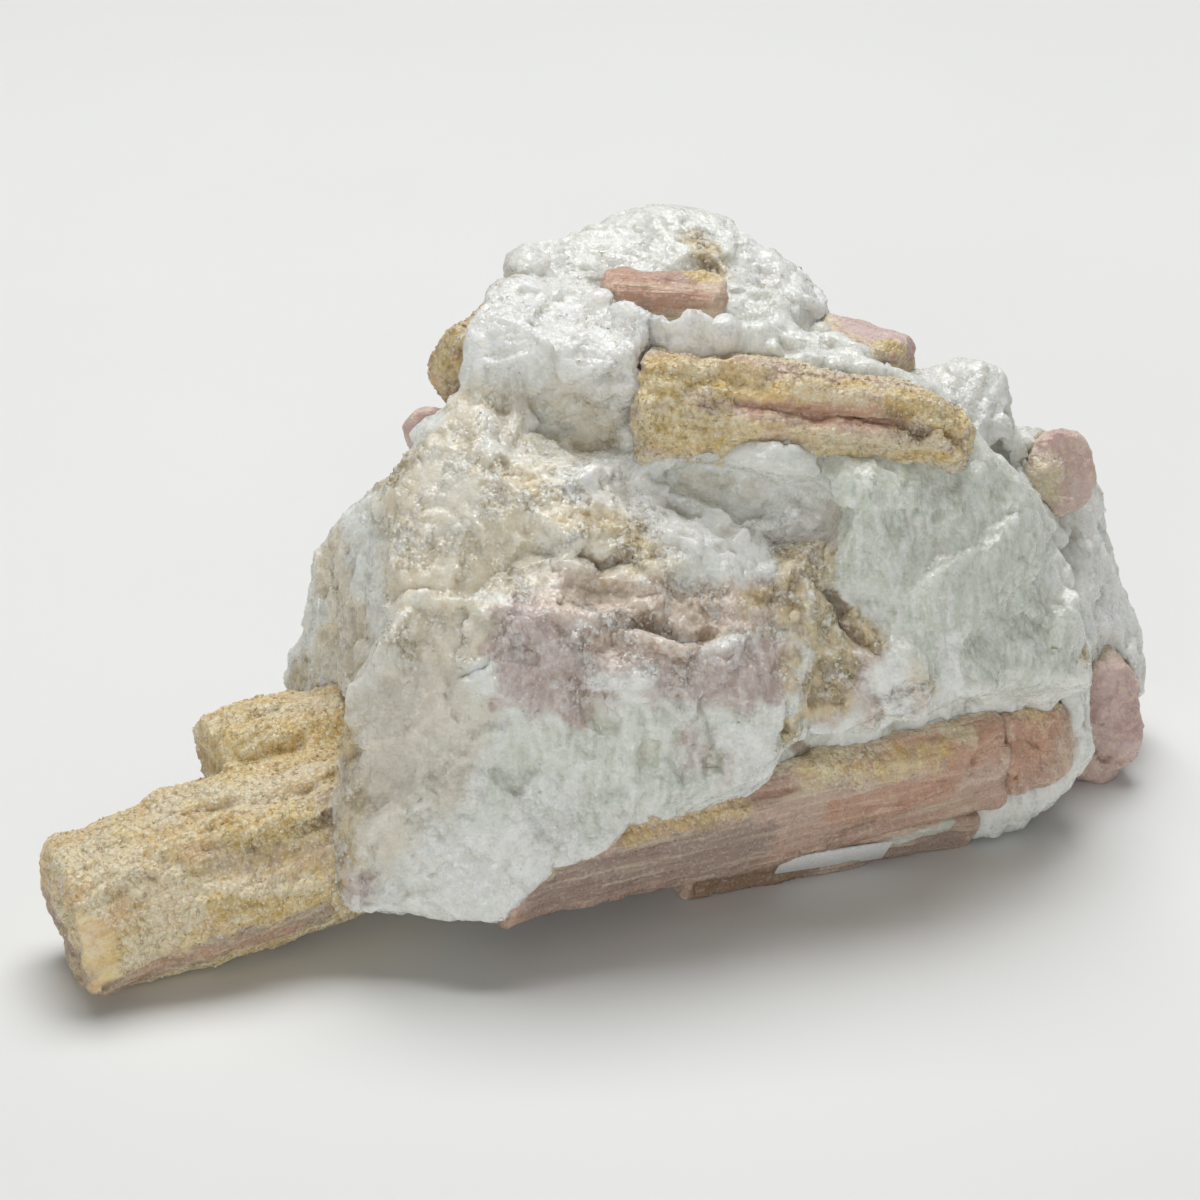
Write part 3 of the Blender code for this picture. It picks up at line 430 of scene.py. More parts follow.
class Skin:
    """The fine surface of one piece, in millimetres, while its relief is worked in."""

    def __init__(self, mesh):
        self.mesh = mesh
        self.points = np.empty(len(mesh.vertices) * 3, np.float32)
        mesh.vertices.foreach_get("co", self.points)
        self.points = self.points.reshape(-1, 3).astype(float) / MM
        self.edges = np.empty(len(mesh.edges) * 2, np.int32)
        mesh.edges.foreach_get("vertices", self.edges)
        self.edges = self.edges.reshape(-1, 2)
        mesh.calc_loop_triangles()
        self.triangles = np.empty(len(mesh.loop_triangles) * 3, np.int32)
        mesh.loop_triangles.foreach_get("vertices", self.triangles)
        self.triangles = self.triangles.reshape(-1, 3)
        self.degree = np.bincount(self.edges.ravel(), minlength=len(self.points))

    def normals(self):
        """The unit normal at each point."""
        a, b, c = (self.points[self.triangles[:, k]] for k in range(3))
        flat = np.cross(b - a, c - a)
        found = np.zeros_like(self.points)
        for k, axis in itertools.product(range(3), repeat=2):
            found[:, axis] += np.bincount(self.triangles[:, k], flat[:, axis], len(self.points))
        return found / np.maximum(np.linalg.norm(found, axis=1, keepdims=True), 1e-12)

    def average(self, values, rounds):
        """The columns of values, each blended with its neighbours that many times."""
        values = np.array(values, float)
        first, second = self.edges.T
        for _ in range(rounds):
            for column in values.T:
                total = np.bincount(first, column[second], len(column)) + np.bincount(second, column[first], len(column))
                column[:] = 0.5 * (column + total / self.degree)
        return values

    def smooth(self, rounds):
        """Softens the surface."""
        self.points = self.average(self.points, rounds)

    def push(self, height):
        """Moves each point out along the normal by its height in millimetres."""
        self.points = self.points + self.normals() * np.asarray(height)[:, None]

    def hollowness(self, rounds):
        """Above 0 in the valleys and below 0 on the edges, in millimetres."""
        return ((self.average(self.points, rounds) - self.points) * self.normals()).sum(axis=1)

    def area(self):
        """The surface's area in square millimetres."""
        a, b, c = (self.points[self.triangles[:, k]] for k in range(3))
        return 0.5 * np.linalg.norm(np.cross(b - a, c - a), axis=1).sum()

    def blocks(self, spacing, seed):
        """Each point's block, the points that the blocks are round, and the random draw that goes with them."""
        rng = np.random.default_rng(seed)
        count = max(8, int(self.area() / spacing ** 2))
        chosen = rng.choice(len(self.points), min(count, len(self.points)), replace=False)
        tree = KDTree(len(chosen))
        for place, index in enumerate(chosen):
            tree.insert(self.points[index], place)
        tree.balance()
        return np.array([tree.find(point)[1] for point in self.points]), chosen, rng

    def break_faces(self, spacing, tilt, share, most, seed):
        """Flattens the surface to small broken faces, as stone breaks. share may differ from point to point."""
        nearest, chosen, rng = self.blocks(spacing, seed)
        normals = self.normals()
        turned = normals[chosen] + rng.normal(0.0, tilt, (len(chosen), 3))
        turned /= np.linalg.norm(turned, axis=1, keepdims=True)
        centre, facing = self.points[chosen][nearest], turned[nearest]
        above = ((self.points - centre) * facing).sum(axis=1)
        lean = np.maximum((facing * normals).sum(axis=1), 0.35)
        move = np.clip(-above / lean, -most, most) * share
        self.points = self.points + normals * move[:, None]

    def cleave(self, spacing, step, share, seed):
        """Parts the surface into flats and little steps, each block along its own direction."""
        nearest, chosen, rng = self.blocks(spacing, seed)
        directions = self.normals()[chosen] + rng.normal(0.0, 0.5, (len(chosen), 3))
        directions /= np.linalg.norm(directions, axis=1, keepdims=True)
        along = directions[nearest]
        level = (self.points * along).sum(axis=1) / step + lumps(self.points, step * 4, seed + 1) * 0.6
        whole = np.floor(level)
        snapped = whole + smooth_step(0.25, 0.75, level - whole)
        self.points = self.points + along * ((snapped - level) * step * share)[:, None]

    def keep_in_box(self):
        """Keeps the surface off the ground and inside the solid model's box."""
        low, high = (np.array(corner) / MM for corner in CAD_BOX)
        self.points = np.clip(self.points, low, high)

    def store(self):
        """Writes the points back to the mesh."""
        self.mesh.vertices.foreach_set("co", (self.points * MM).astype(np.float32).ravel())
        self.mesh.update()


def distance_to_path(points, path):
    """How far each point is from a path of one or more points."""
    path = np.array(path, float)
    if len(path) == 1:
        return np.linalg.norm(points - path[0], axis=1)
    best = np.full(len(points), np.inf)
    for start, end in zip(path, path[1:]):
        run = end - start
        along = np.clip((points - start) @ run / max(run @ run, 1e-9), 0.0, 1.0)
        best = np.minimum(best, np.linalg.norm(points - start - along[:, None] * run, axis=1))
    return best


def photo_ray(pixel):
    """The direction from the camera through a pixel of the photograph."""
    across = (pixel[0] - PHOTO_SIDE / 2) / PHOTO_SIDE * SENSOR / LENS
    upward = (PHOTO_SIDE / 2 - pixel[1]) / PHOTO_SIDE * SENSOR / LENS
    return (LOOK + RIGHT * across + UP * upward).normalized()


def surface_tree(skin):
    """A search tree over the skin's triangles."""
    return BVHTree.FromPolygons(skin.points.tolist(), skin.triangles.tolist())


def on_surface(tree, path):
    """The places on the surface that the path's pixels show. A pixel just off the piece takes the nearest place."""
    found = []
    for pixel in path:
        ray = photo_ray(pixel)
        hit = tree.ray_cast(EYE, ray)[0]
        if hit is None:
            hit = tree.find_nearest(EYE + ray * CAMERA_DISTANCE)[0]
        found.append(tuple(hit))
    return found


def carve(skin, marks, wobble):
    """Raises and sinks the surface along the marks."""
    tree = surface_tree(skin)
    height = np.zeros(len(skin.points))
    for mark in marks:
        away = distance_to_path(skin.points, on_surface(tree, mark.path)) / mark.width
        height += mark.amount * smooth_step(1.0, 0.0, away + wobble * 0.35) ** 1.3
    skin.push(height)


def paint(skin, tree, finishes, wobble):
    """How much of each finish shows at each point, by name."""
    masks = {name: np.zeros(len(skin.points)) for name in FINISH_NAMES}
    for finish in finishes:
        path = finish.path if len(finish.path[0]) == 3 else on_surface(tree, finish.path)
        away = distance_to_path(skin.points, path) / finish.width + wobble * 0.4
        amount = finish.amount * smooth_step(1.5, 0.3, away)
        masks[finish.name] = np.maximum(masks[finish.name], amount)
    return masks


def total_of(masks, shares):
    """The masks added up by their shares."""
    return sum(share * masks[name] for name, share in shares.items())


def write_masks(mesh, masks):
    """Stores each mask as an attribute of the mesh's points."""
    for name, values in masks.items():
        attribute = mesh.attributes.new(name, "FLOAT", "POINT")
        attribute.data.foreach_set("value", np.clip(values, 0.0, 1.0).astype(np.float32))


def write_lengthways(mesh, points, axis):
    """Stores each point's place with the crystal's length squeezed, in metres, so that stripes there run along it."""
    attribute = mesh.attributes.new("lengthways", "FLOAT_VECTOR", "POINT")
    attribute.data.foreach_set("vector", (lengthways(points, axis) * MM).astype(np.float32).ravel())


def new_object(name, mesh):
    """An object for the mesh, in the scene."""
    obj = bpy.data.objects.new(name, mesh)
    bpy.context.scene.collection.objects.link(obj)
    return obj


def apply_modifiers(obj):
    """Replaces the object's mesh with its evaluated one."""
    graph = bpy.context.evaluated_depsgraph_get()
    mesh = bpy.data.meshes.new_from_object(obj.evaluated_get(graph))
    old = obj.data
    obj.modifiers.clear()
    obj.data = mesh
    bpy.data.meshes.remove(old)
    mesh.name = obj.name


def merged_copy(node, name):
    """A copy of a solid's mesh with its loose triangles joined, as a new object."""
    obj = new_object(name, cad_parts[node].data.copy())
    obj.data.materials.clear()
    obj.modifiers.new("Weld", "WELD").merge_threshold = 1e-6
    apply_modifiers(obj)
    return obj


def remesh(obj, voxel):
    """Gives the object an even fine mesh, voxel millimetres to a side."""
    modifier = obj.modifiers.new("Remesh", "REMESH")
    modifier.mode = "VOXEL"
    modifier.voxel_size = voxel * MM
    apply_modifiers(obj)


def thin_out(obj, triangles):
    """Lowers the object to about that many triangles, fewest where it is flat."""
    now = sum(len(face.vertices) - 2 for face in obj.data.polygons)
    obj.modifiers.new("Decimate", "DECIMATE").ratio = min(1.0, triangles / now)
    apply_modifiers(obj)


def finish_piece(obj, material, slot, node=None):
    """Gives the piece its material, and lets it ride on the body and stand for its solid."""
    obj.data.materials.clear()
    obj.data.materials.append(material)
    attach(obj, BODY)
    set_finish(obj, slot)
    if node:
        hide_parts(node)


def shade_broken(obj):
    """Smooth shading with crisp edges where the stone turns sharply."""
    obj.data.shade_smooth()
    obj.data.set_sharp_from_angle(angle=math.radians(38))


class Nodes:
    """A short way to build a node tree."""

    def __init__(self, tree):
        self.tree = tree

    def feed(self, value, socket):
        """Links a socket or sets a plain value."""
        if isinstance(value, bpy.types.NodeSocket):
            self.tree.links.new(value, socket)
        elif socket.type == "RGBA":
            socket.default_value = (*value[:3], 1.0)
        else:
            socket.default_value = value

    def add(self, kind, inputs=None, **settings):
        """A node of that kind. inputs are values or sockets by name or number."""
        node = self.tree.nodes.new(kind)
        for name, value in settings.items():
            setattr(node, name, value)
        for name, value in (inputs or {}).items():
            self.feed(value, node.inputs[name])
        return node

    def math(self, operation, *values):
        """One math node's result."""
        return self.add("ShaderNodeMath", dict(enumerate(values)), operation=operation).outputs[0]

    def vector(self, operation, first, second):
        """One vector math node's result."""
        node = self.add("ShaderNodeVectorMath", {0: first, 1: second}, operation=operation)
        return node.outputs["Value" if operation == "DOT_PRODUCT" else "Vector"]

    def mix(self, share, first, second):
        """The blend of two colours."""
        return self.add("ShaderNodeMix", {0: share, 6: first, 7: second}, data_type="RGBA").outputs[2]

    def spread(self, value, low, high):
        """0 at low, 1 at high and a soft rise between them."""
        inputs = {"Value": value, "From Min": low, "From Max": high}
        return self.add("ShaderNodeMapRange", inputs, interpolation_type="SMOOTHSTEP").outputs[0]

    def mask(self, name):
        """One of the mesh's attributes."""
        return self.add("ShaderNodeAttribute", attribute_name=name).outputs["Fac"]

    def noise(self, vector, scale, detail=3.0, roughness=0.55):
        """A noise texture's value."""
        inputs = {"Vector": vector, "Scale": scale, "Detail": detail, "Roughness": roughness}
        return self.add("ShaderNodeTexNoise", inputs).outputs[0]

    def group(self, tree, inputs):
        """The outputs of one placed group."""
        return self.add("ShaderNodeGroup", inputs, node_tree=tree).outputs


def shader_group(name, inputs, outputs):
    """An empty shader group with those named sockets: its node helper, its inputs' sockets and its outputs'."""
    tree = bpy.data.node_groups.new(name, "ShaderNodeTree")
    tree.interface.new_socket("Vector", in_out="INPUT", socket_type="NodeSocketVector")
    for label, value in inputs.items():
        tree.interface.new_socket(label, in_out="INPUT", socket_type="NodeSocketFloat").default_value = value
    for label in outputs:
        tree.interface.new_socket(label, in_out="OUTPUT", socket_type="NodeSocketFloat")
    nodes = Nodes(tree)
    return nodes, nodes.add("NodeGroupInput").outputs, nodes.add("NodeGroupOutput").inputs


def ragged_group():
    """Gives a soft mask the ragged edge of a stain that follows the grain."""
    nodes, given, result = shader_group("Ragged edge", {"Mask": 0.0, "Size": 1.0, "Ragged": 0.6}, ["Mask"])
    scale = nodes.math("DIVIDE", 1000.0, given["Size"])
    noise = nodes.noise(given["Vector"], scale, 6.0, 0.6)
    shift = nodes.math("MULTIPLY", nodes.math("SUBTRACT", noise, 0.5), nodes.math("MULTIPLY", given["Ragged"], 2.0))
    gate = nodes.spread(given["Mask"], 0.02, 0.25)
    edge = nodes.spread(nodes.math("ADD", given["Mask"], shift), 0.15, 0.85)
    nodes.feed(nodes.math("MULTIPLY", gate, edge), result["Mask"])
    return nodes.tree


def sugar_group():
    """Small crystal grains: a height that tilts and rounds each grain, and a shade and a gloss for each grain."""
    settings = {"Size": 0.8, "Tilt": 0.5, "Round": 0.3}
    nodes, given, result = shader_group("Sugar grains", settings, ["Height", "Shade", "Gloss"])
    scale = nodes.math("DIVIDE", 1000.0, given["Size"])
    cells = nodes.add("ShaderNodeTexVoronoi", {"Vector": given["Vector"], "Scale": scale})
    offset = nodes.vector("SUBTRACT", given["Vector"], cells.outputs["Position"])
    slope = nodes.vector("SUBTRACT", cells.outputs["Color"], (0.5, 0.5, 0.5))
    tilted = nodes.math("MULTIPLY", nodes.vector("DOT_PRODUCT", offset, slope), given["Tilt"])
    square = nodes.math("MULTIPLY", cells.outputs["Distance"], cells.outputs["Distance"])
    drop = nodes.math("MULTIPLY", square, nodes.math("MULTIPLY", given["Round"], nodes.math("MULTIPLY", given["Size"], MM)))
    nodes.feed(nodes.math("SUBTRACT", tilted, drop), result["Height"])
    parts = nodes.add("ShaderNodeSeparateColor", {0: cells.outputs["Color"]})
    nodes.feed(parts.outputs[0], result["Shade"])
    nodes.feed(parts.outputs[1], result["Gloss"])
    return nodes.tree


def fibre_group():
    """Feathery fibres: fine upright streaks that bend a little from patch to patch."""
    settings = {"Size": 0.6, "Length": 8.0, "Bend": 2.0}
    nodes, given, result = shader_group("Fibres", settings, ["Streak"])
    drift = nodes.add("ShaderNodeTexNoise", {"Vector": given["Vector"], "Scale": 90.0, "Detail": 3.0}).outputs["Color"]
    centred = nodes.vector("SUBTRACT", drift, (0.5, 0.5, 0.5))
    reach = nodes.math("MULTIPLY", given["Bend"], MM)
    bent = nodes.vector("ADD", given["Vector"], nodes.vector("MULTIPLY", centred, reach))
    squeeze = nodes.add("ShaderNodeCombineXYZ", {0: 1.0, 1: 1.0, 2: given["Length"]}).outputs[0]
    scale = nodes.math("DIVIDE", 1000.0, given["Size"])
    nodes.feed(nodes.noise(nodes.vector("DIVIDE", bent, squeeze), scale, 5.0, 0.62), result["Streak"])
    return nodes.tree


def shared_group(make, name):
    """The group of that name, made the first time."""
    return bpy.data.node_groups.get(name) or make()


def new_material(name, subsurface, radius):
    """A material with its main shader's plain values set: the material, its node helper, the shader, its coordinates."""
    material = bpy.data.materials.new(name)
    material.use_nodes = True
    shader = material.node_tree.nodes["Principled BSDF"]
    shader.inputs["Subsurface Weight"].default_value = subsurface
    shader.inputs["Subsurface Radius"].default_value = radius
    shader.inputs["Subsurface Scale"].default_value = MM
    shader.inputs["IOR"].default_value = 1.54
    nodes = Nodes(material.node_tree)
    return material, nodes, shader, nodes.add("ShaderNodeTexCoord").outputs["Object"]


def stained(nodes, where, colour, name, stain, size, amount, strength):
    """The colour with a stain over it where the mask of that name says."""
    ragged = shared_group(ragged_group, "Ragged edge")
    edge = nodes.group(ragged, {"Vector": where, "Mask": nodes.mask(name), "Size": size, "Ragged": amount})[0]
    return nodes.mix(nodes.math("MULTIPLY", edge, strength), colour, stain)


def quartz_material(name, subsurface):
    """Milky quartz with its cream, grey, green, lilac and pink stretches and ochre stain, painted shade in its
    hollows, painted highlight on its edges and painted glints.
    """
    colours = bpy.context.scene.specimen_quartz
    material, nodes, shader, where = new_material(name, subsurface, (1.7, 1.5, 1.2))
    sugar, fibre = shared_group(sugar_group, "Sugar grains"), shared_group(fibre_group, "Fibres")
    streak = nodes.group(fibre, {"Vector": where, "Size": 1.0, "Length": 6.0, "Bend": 5.0})[0]
    cloud = nodes.noise(where, 130.0, 5.0, 0.62)
    mottle = nodes.math("ADD", nodes.math("MULTIPLY", streak, 0.6), nodes.math("MULTIPLY", cloud, 0.4))
    speckle = nodes.noise(where, 1100.0, 3.0, 0.7)
    grains = nodes.group(sugar, {"Vector": where, "Size": 1.1, "Tilt": 0.5, "Round": 0.5})
    fine = nodes.group(sugar, {"Vector": where, "Size": 0.4, "Tilt": 0.9, "Round": 0.3})
    sugary = nodes.mask("sugar")

    colour = nodes.mix(nodes.spread(mottle, 0.38, 0.64), colours.white, colours.pale)
    cream = nodes.mix(nodes.spread(cloud, 0.4, 0.6), colours.cream, colours.cream_light)
    colour = stained(nodes, where, colour, "cream", cream, 3.0, 0.5, 0.9)
    grey = nodes.mix(nodes.spread(cloud, 0.4, 0.62), colours.grey, colours.grey_light)
    colour = stained(nodes, where, colour, "grey", grey, 4.0, 0.5, 0.8)
    green = nodes.mix(nodes.spread(streak, 0.3, 0.72), colours.green, colours.white)
    colour = stained(nodes, where, colour, "green", green, 4.0, 0.5, 0.9)
    lilac = nodes.mix(nodes.spread(mottle, 0.42, 0.6), colours.lilac, colours.lilac_light)
    colour = stained(nodes, where, colour, "lilac", lilac, 2.2, 0.8, 0.85)
    pink = nodes.mix(nodes.spread(speckle, 0.4, 0.6), colours.pink, colours.pink_light)
    colour = stained(nodes, where, colour, "pink", pink, 1.6, 0.7, 0.85)
    colour = stained(nodes, where, colour, "snow", colours.snow, 1.6, 0.8, 0.9)
    ochre = nodes.mix(nodes.spread(nodes.noise(where, 500.0, 4.0), 0.35, 0.6), colours.ochre, colours.ochre_light)
    colour = stained(nodes, where, colour, "ochre", ochre, 1.8, 0.7, 0.85)
    colour = stained(nodes, where, colour, "brown", colours.brown, 1.0, 0.6, 0.8)
    # Painted shade: the hollows are darkened towards the dust colour
    colour = nodes.mix(nodes.math("MULTIPLY", nodes.mask("valley"), 0.35), colour, colours.dust_and_shade)
    # Painted highlight: the edges are lightened towards snow white
    colour = nodes.mix(nodes.math("MULTIPLY", nodes.mask("crest"), 0.3), colour, colours.snow)
    pale_grain = nodes.math("MULTIPLY", nodes.spread(grains["Shade"], 0.5, 0.95), nodes.math("MULTIPLY_ADD", sugary, 0.4, 0.1))
    colour = nodes.mix(pale_grain, colour, colours.snow)
    dull_grain = nodes.math("MULTIPLY", nodes.spread(grains["Shade"], 0.45, 0.05), nodes.math("MULTIPLY_ADD", sugary, 0.3, 0.04))
    colour = nodes.mix(dull_grain, colour, colours.dust_and_shade)
    # Painted glints: a few fine grains are lightened to near white, as if they caught the light
    glint = nodes.math("MULTIPLY", nodes.spread(fine["Shade"], 0.8, 0.9), nodes.math("MULTIPLY_ADD", sugary, 0.55, 0.12))
    colour = nodes.mix(glint, colour, colours.glint)
    dark = nodes.math("MULTIPLY", nodes.spread(speckle, 0.42, 0.28), nodes.math("MULTIPLY_ADD", sugary, 0.4, 0.1))
    colour = nodes.mix(dark, colour, colours.dust_and_shade)
    nodes.feed(colour, shader.inputs["Base Color"])

    nodes.feed(nodes.math("MULTIPLY_ADD", fine["Gloss"], 0.35, 0.12), shader.inputs["Roughness"])
    height = nodes.math("MULTIPLY", grains["Height"], nodes.math("MULTIPLY_ADD", sugary, 1.0, 0.15))
    height = nodes.math("MULTIPLY_ADD", fine["Height"], nodes.math("MULTIPLY_ADD", sugary, 0.75, 0.25), height)
    height = nodes.math("MULTIPLY_ADD", streak, 0.00006, height)
    height = nodes.math("MULTIPLY_ADD", speckle, 0.0001, height)
    bump = nodes.add("ShaderNodeBump", {"Height": height, "Distance": 1.0, "Strength": 1.0})
    nodes.feed(bump.outputs[0], shader.inputs["Normal"])
    return material


def crystal_material(name, subsurface, base, second):
    """Tourmaline in two shades, with the crust, the white sugar and the stains where its masks say, painted shade in
    its hollows, painted highlight on its crusted edges and painted glints.
    """
    tints = bpy.context.scene.specimen_crystals
    material, nodes, shader, where = new_material(name, subsurface, (1.6, 1.1, 0.8))
    sugar = shared_group(sugar_group, "Sugar grains")
    cloud = nodes.noise(where, 180.0, 6.0, 0.65)
    along = nodes.add("ShaderNodeAttribute", attribute_name="lengthways").outputs["Vector"]
    stripe = nodes.noise(along, 1000.0, 4.0, 0.6)
    band = nodes.noise(along, 260.0, 3.0, 0.6)
    grains = nodes.group(sugar, {"Vector": where, "Size": 0.8, "Tilt": 0.4, "Round": 0.5})
    fine = nodes.group(sugar, {"Vector": where, "Size": 0.3, "Tilt": 0.5, "Round": 0.3})
    patch = nodes.noise(where, 150.0, 4.0, 0.65)
    sugary = nodes.mask("sugar")

    colour = nodes.mix(nodes.spread(band, 0.4, 0.6), base, second)
    frosted = nodes.math("MULTIPLY", nodes.spread(patch, 0.48, 0.6), nodes.math("MULTIPLY_ADD", sugary, 0.75, 0.1))
    colour = nodes.mix(frosted, colour, tints.crust_light)
    colour = stained(nodes, where, colour, "lilac", tints.mauve, 2.4, 0.7, 0.8)
    colour = stained(nodes, where, colour, "pink", tints.red, 2.0, 0.7, 0.8)
    colour = nodes.mix(nodes.math("MULTIPLY", nodes.spread(stripe, 0.5, 0.66), 0.4), colour, tints.crust_light)
    colour = nodes.mix(nodes.math("MULTIPLY", nodes.spread(stripe, 0.48, 0.34), 0.15), colour, tints.dark)
    crust = nodes.mix(nodes.spread(nodes.noise(where, 420.0, 5.0), 0.35, 0.62), tints.crust, tints.straw)
    colour = stained(nodes, where, colour, "ochre", crust, 1.8, 0.8, 0.9)
    colour = stained(nodes, where, colour, "snow", tints.crust_light, 1.0, 1.0, 0.75)
    colour = stained(nodes, where, colour, "brown", tints.dark, 1.2, 0.7, 0.8)
    # Painted shade: the hollows are darkened towards the dark crevice colour
    colour = nodes.mix(nodes.math("MULTIPLY", nodes.mask("valley"), 0.25), colour, tints.dark)
    # Painted highlight: the edges of the sugary crust are lightened
    crest = nodes.math("MULTIPLY", nodes.mask("crest"), sugary)
    colour = nodes.mix(nodes.math("MULTIPLY", crest, 0.5), colour, tints.crust_light)
    powder = nodes.math("MULTIPLY", nodes.spread(grains["Shade"], 0.5, 0.95), sugary)
    colour = nodes.mix(nodes.math("MULTIPLY", powder, 0.3), colour, tints.crust_light)
    deep = nodes.math("MULTIPLY", nodes.spread(grains["Shade"], 0.4, 0.0), sugary)
    colour = nodes.mix(nodes.math("MULTIPLY", deep, 0.15), colour, tints.crust)
    # Painted glints: a few fine grains are lightened to near white, as if they caught the light
    glint = nodes.math("MULTIPLY", nodes.spread(fine["Shade"], 0.78, 0.9), nodes.math("MULTIPLY_ADD", sugary, 0.3, 0.15))
    colour = nodes.mix(glint, colour, tints.glint)
    film = nodes.mix(nodes.spread(cloud, 0.4, 0.6), tints.film, tints.film_pale)
    colour = stained(nodes, where, colour, "green", film, 1.2, 0.6, 0.9)
    nodes.feed(colour, shader.inputs["Base Color"])

    nodes.feed(nodes.math("MULTIPLY_ADD", fine["Gloss"], 0.35, 0.2), shader.inputs["Roughness"])
    height = nodes.math("MULTIPLY", grains["Height"], nodes.math("MULTIPLY_ADD", sugary, 0.9, 0.1))
    height = nodes.math("MULTIPLY_ADD", fine["Height"], nodes.math("MULTIPLY_ADD", sugary, 0.6, 0.3), height)
    height = nodes.math("MULTIPLY_ADD", stripe, 0.0005, height)
    bump = nodes.add("ShaderNodeBump", {"Height": height, "Distance": 1.0, "Strength": 1.0})
    nodes.feed(bump.outputs[0], shader.inputs["Normal"])
    return material


def colour(name, description, value):
    """A colour property."""
    return FloatVectorProperty(name=name, description=description, subtype="COLOR", default=value, min=0.0, max=1.0)


class QuartzSettings(bpy.types.PropertyGroup):
    """The quartz's mesh and colours."""

    voxel: FloatProperty(name="Voxel", description="Side of the fine mesh's cells, in millimetres", default=0.46)
    triangles: IntProperty(name="Triangles", description="Triangles in the finished quartz", default=195000)
    # Snow white, also used as painted highlight on the edges
    snow: colour("Snow", "Freshly broken white", (0.90, 0.91, 0.88))
    # Painted glint colour for the grains
    glint: colour("Glint", "Faces of the grains that catch the light", (0.96, 0.97, 0.95))
    white: colour("White", "Milky quartz", (0.86, 0.87, 0.83))
    pale: colour("Pale", "Duller milky quartz", (0.74, 0.76, 0.71))
    cream: colour("Cream", "Cream sugary quartz", (0.74, 0.66, 0.49))
    cream_light: colour("Light cream", "Paler sugary quartz", (0.84, 0.80, 0.68))
    # Dust colour, also used as painted shade in the hollows
    dust_and_shade: colour("Dust", "Dust in the hollows", (0.50, 0.42, 0.29))
    grey: colour("Grey", "Translucent grey quartz", (0.60, 0.55, 0.44))
    grey_light: colour("Light grey", "Cloudy grey quartz", (0.76, 0.70, 0.58))
    green: colour("Green", "Pale green fibrous mass", (0.55, 0.61, 0.50))
    lilac: colour("Lilac", "Lilac quartz", (0.47, 0.35, 0.32))
    lilac_light: colour("Light lilac", "Milky lilac", (0.68, 0.58, 0.54))
    pink: colour("Pink", "Pink sugary layers", (0.57, 0.43, 0.34))
    pink_light: colour("Light pink", "Paler pink sugar", (0.74, 0.63, 0.53))
    ochre: colour("Ochre", "Ochre stain", (0.35, 0.25, 0.11))
    ochre_light: colour("Light ochre", "Thin stain", (0.70, 0.58, 0.34))
    brown: colour("Brown", "Dark crevices", (0.27, 0.17, 0.09))


class CrystalSettings(bpy.types.PropertyGroup):
    """The crystals' colours."""

    rubellite: colour("Rubellite", "Pink-brown tourmaline", (0.52, 0.33, 0.25))
    rubellite_pale: colour("Pale rubellite", "Milky stretches of it", (0.62, 0.45, 0.37))
    mauve: colour("Mauve", "Greyer tourmaline", (0.34, 0.25, 0.21))
    red: colour("Red", "Red-orange tourmaline", (0.60, 0.34, 0.23))
    raspberry: colour("Raspberry", "Darker pink", (0.58, 0.38, 0.36))
    rose: colour("Rose", "Paler pink", (0.70, 0.53, 0.50))
    straw: colour("Straw", "Thick pale crust", (0.84, 0.68, 0.36))
    tan: colour("Tan", "Crusted tourmaline", (0.74, 0.52, 0.27))
    crust: colour("Crust", "Ochre crust", (0.70, 0.49, 0.17))
    # Pale crust grains, also used as painted highlight on the crust's edges
    crust_light: colour("Light crust", "Pale grains of the crust", (0.84, 0.74, 0.53))
    # Painted glint colour for the grains
    glint: colour("Glint", "Faces of the grains that catch the light", (0.94, 0.92, 0.86))
    brown: colour("Brown crust", "Brown crust", (0.40, 0.28, 0.15))
    # Dark crevice colour, also used as painted shade in the crystals' hollows
    dark: colour("Dark", "Crevices in the crystals", (0.26, 0.16, 0.09))
    film: colour("Film", "Thin quartz over a crystal", (0.60, 0.63, 0.55))
    film_pale: colour("Pale film", "Milky stretches of it", (0.78, 0.80, 0.74))


class StageSettings(bpy.types.PropertyGroup):
    """The floor and the lights."""

    floor: colour("Floor", "Colour of the sweep", (0.82, 0.83, 0.82))
    overhead: FloatProperty(name="Overhead", description="Power of the overhead light", subtype="POWER", default=9.3)
    front: FloatProperty(name="Front", description="Power of the front light", subtype="POWER", default=3.4)
    world: FloatProperty(name="World", description="Strength of the even light all round", default=0.12)


class GrainSettings(bpy.types.PropertyGroup):
    """The loose sugary grains."""

    density: FloatProperty(name="Density", description="Grains per square millimetre where it is all sugar", default=2.2)
    smallest: FloatProperty(name="Smallest", description="Least side of a grain, in millimetres", default=0.15)
    largest: FloatProperty(name="Largest", description="Most side of a grain, in millimetres", default=0.42)
    seed: IntProperty(name="Seed", description="Seed of the grains' places", default=5)


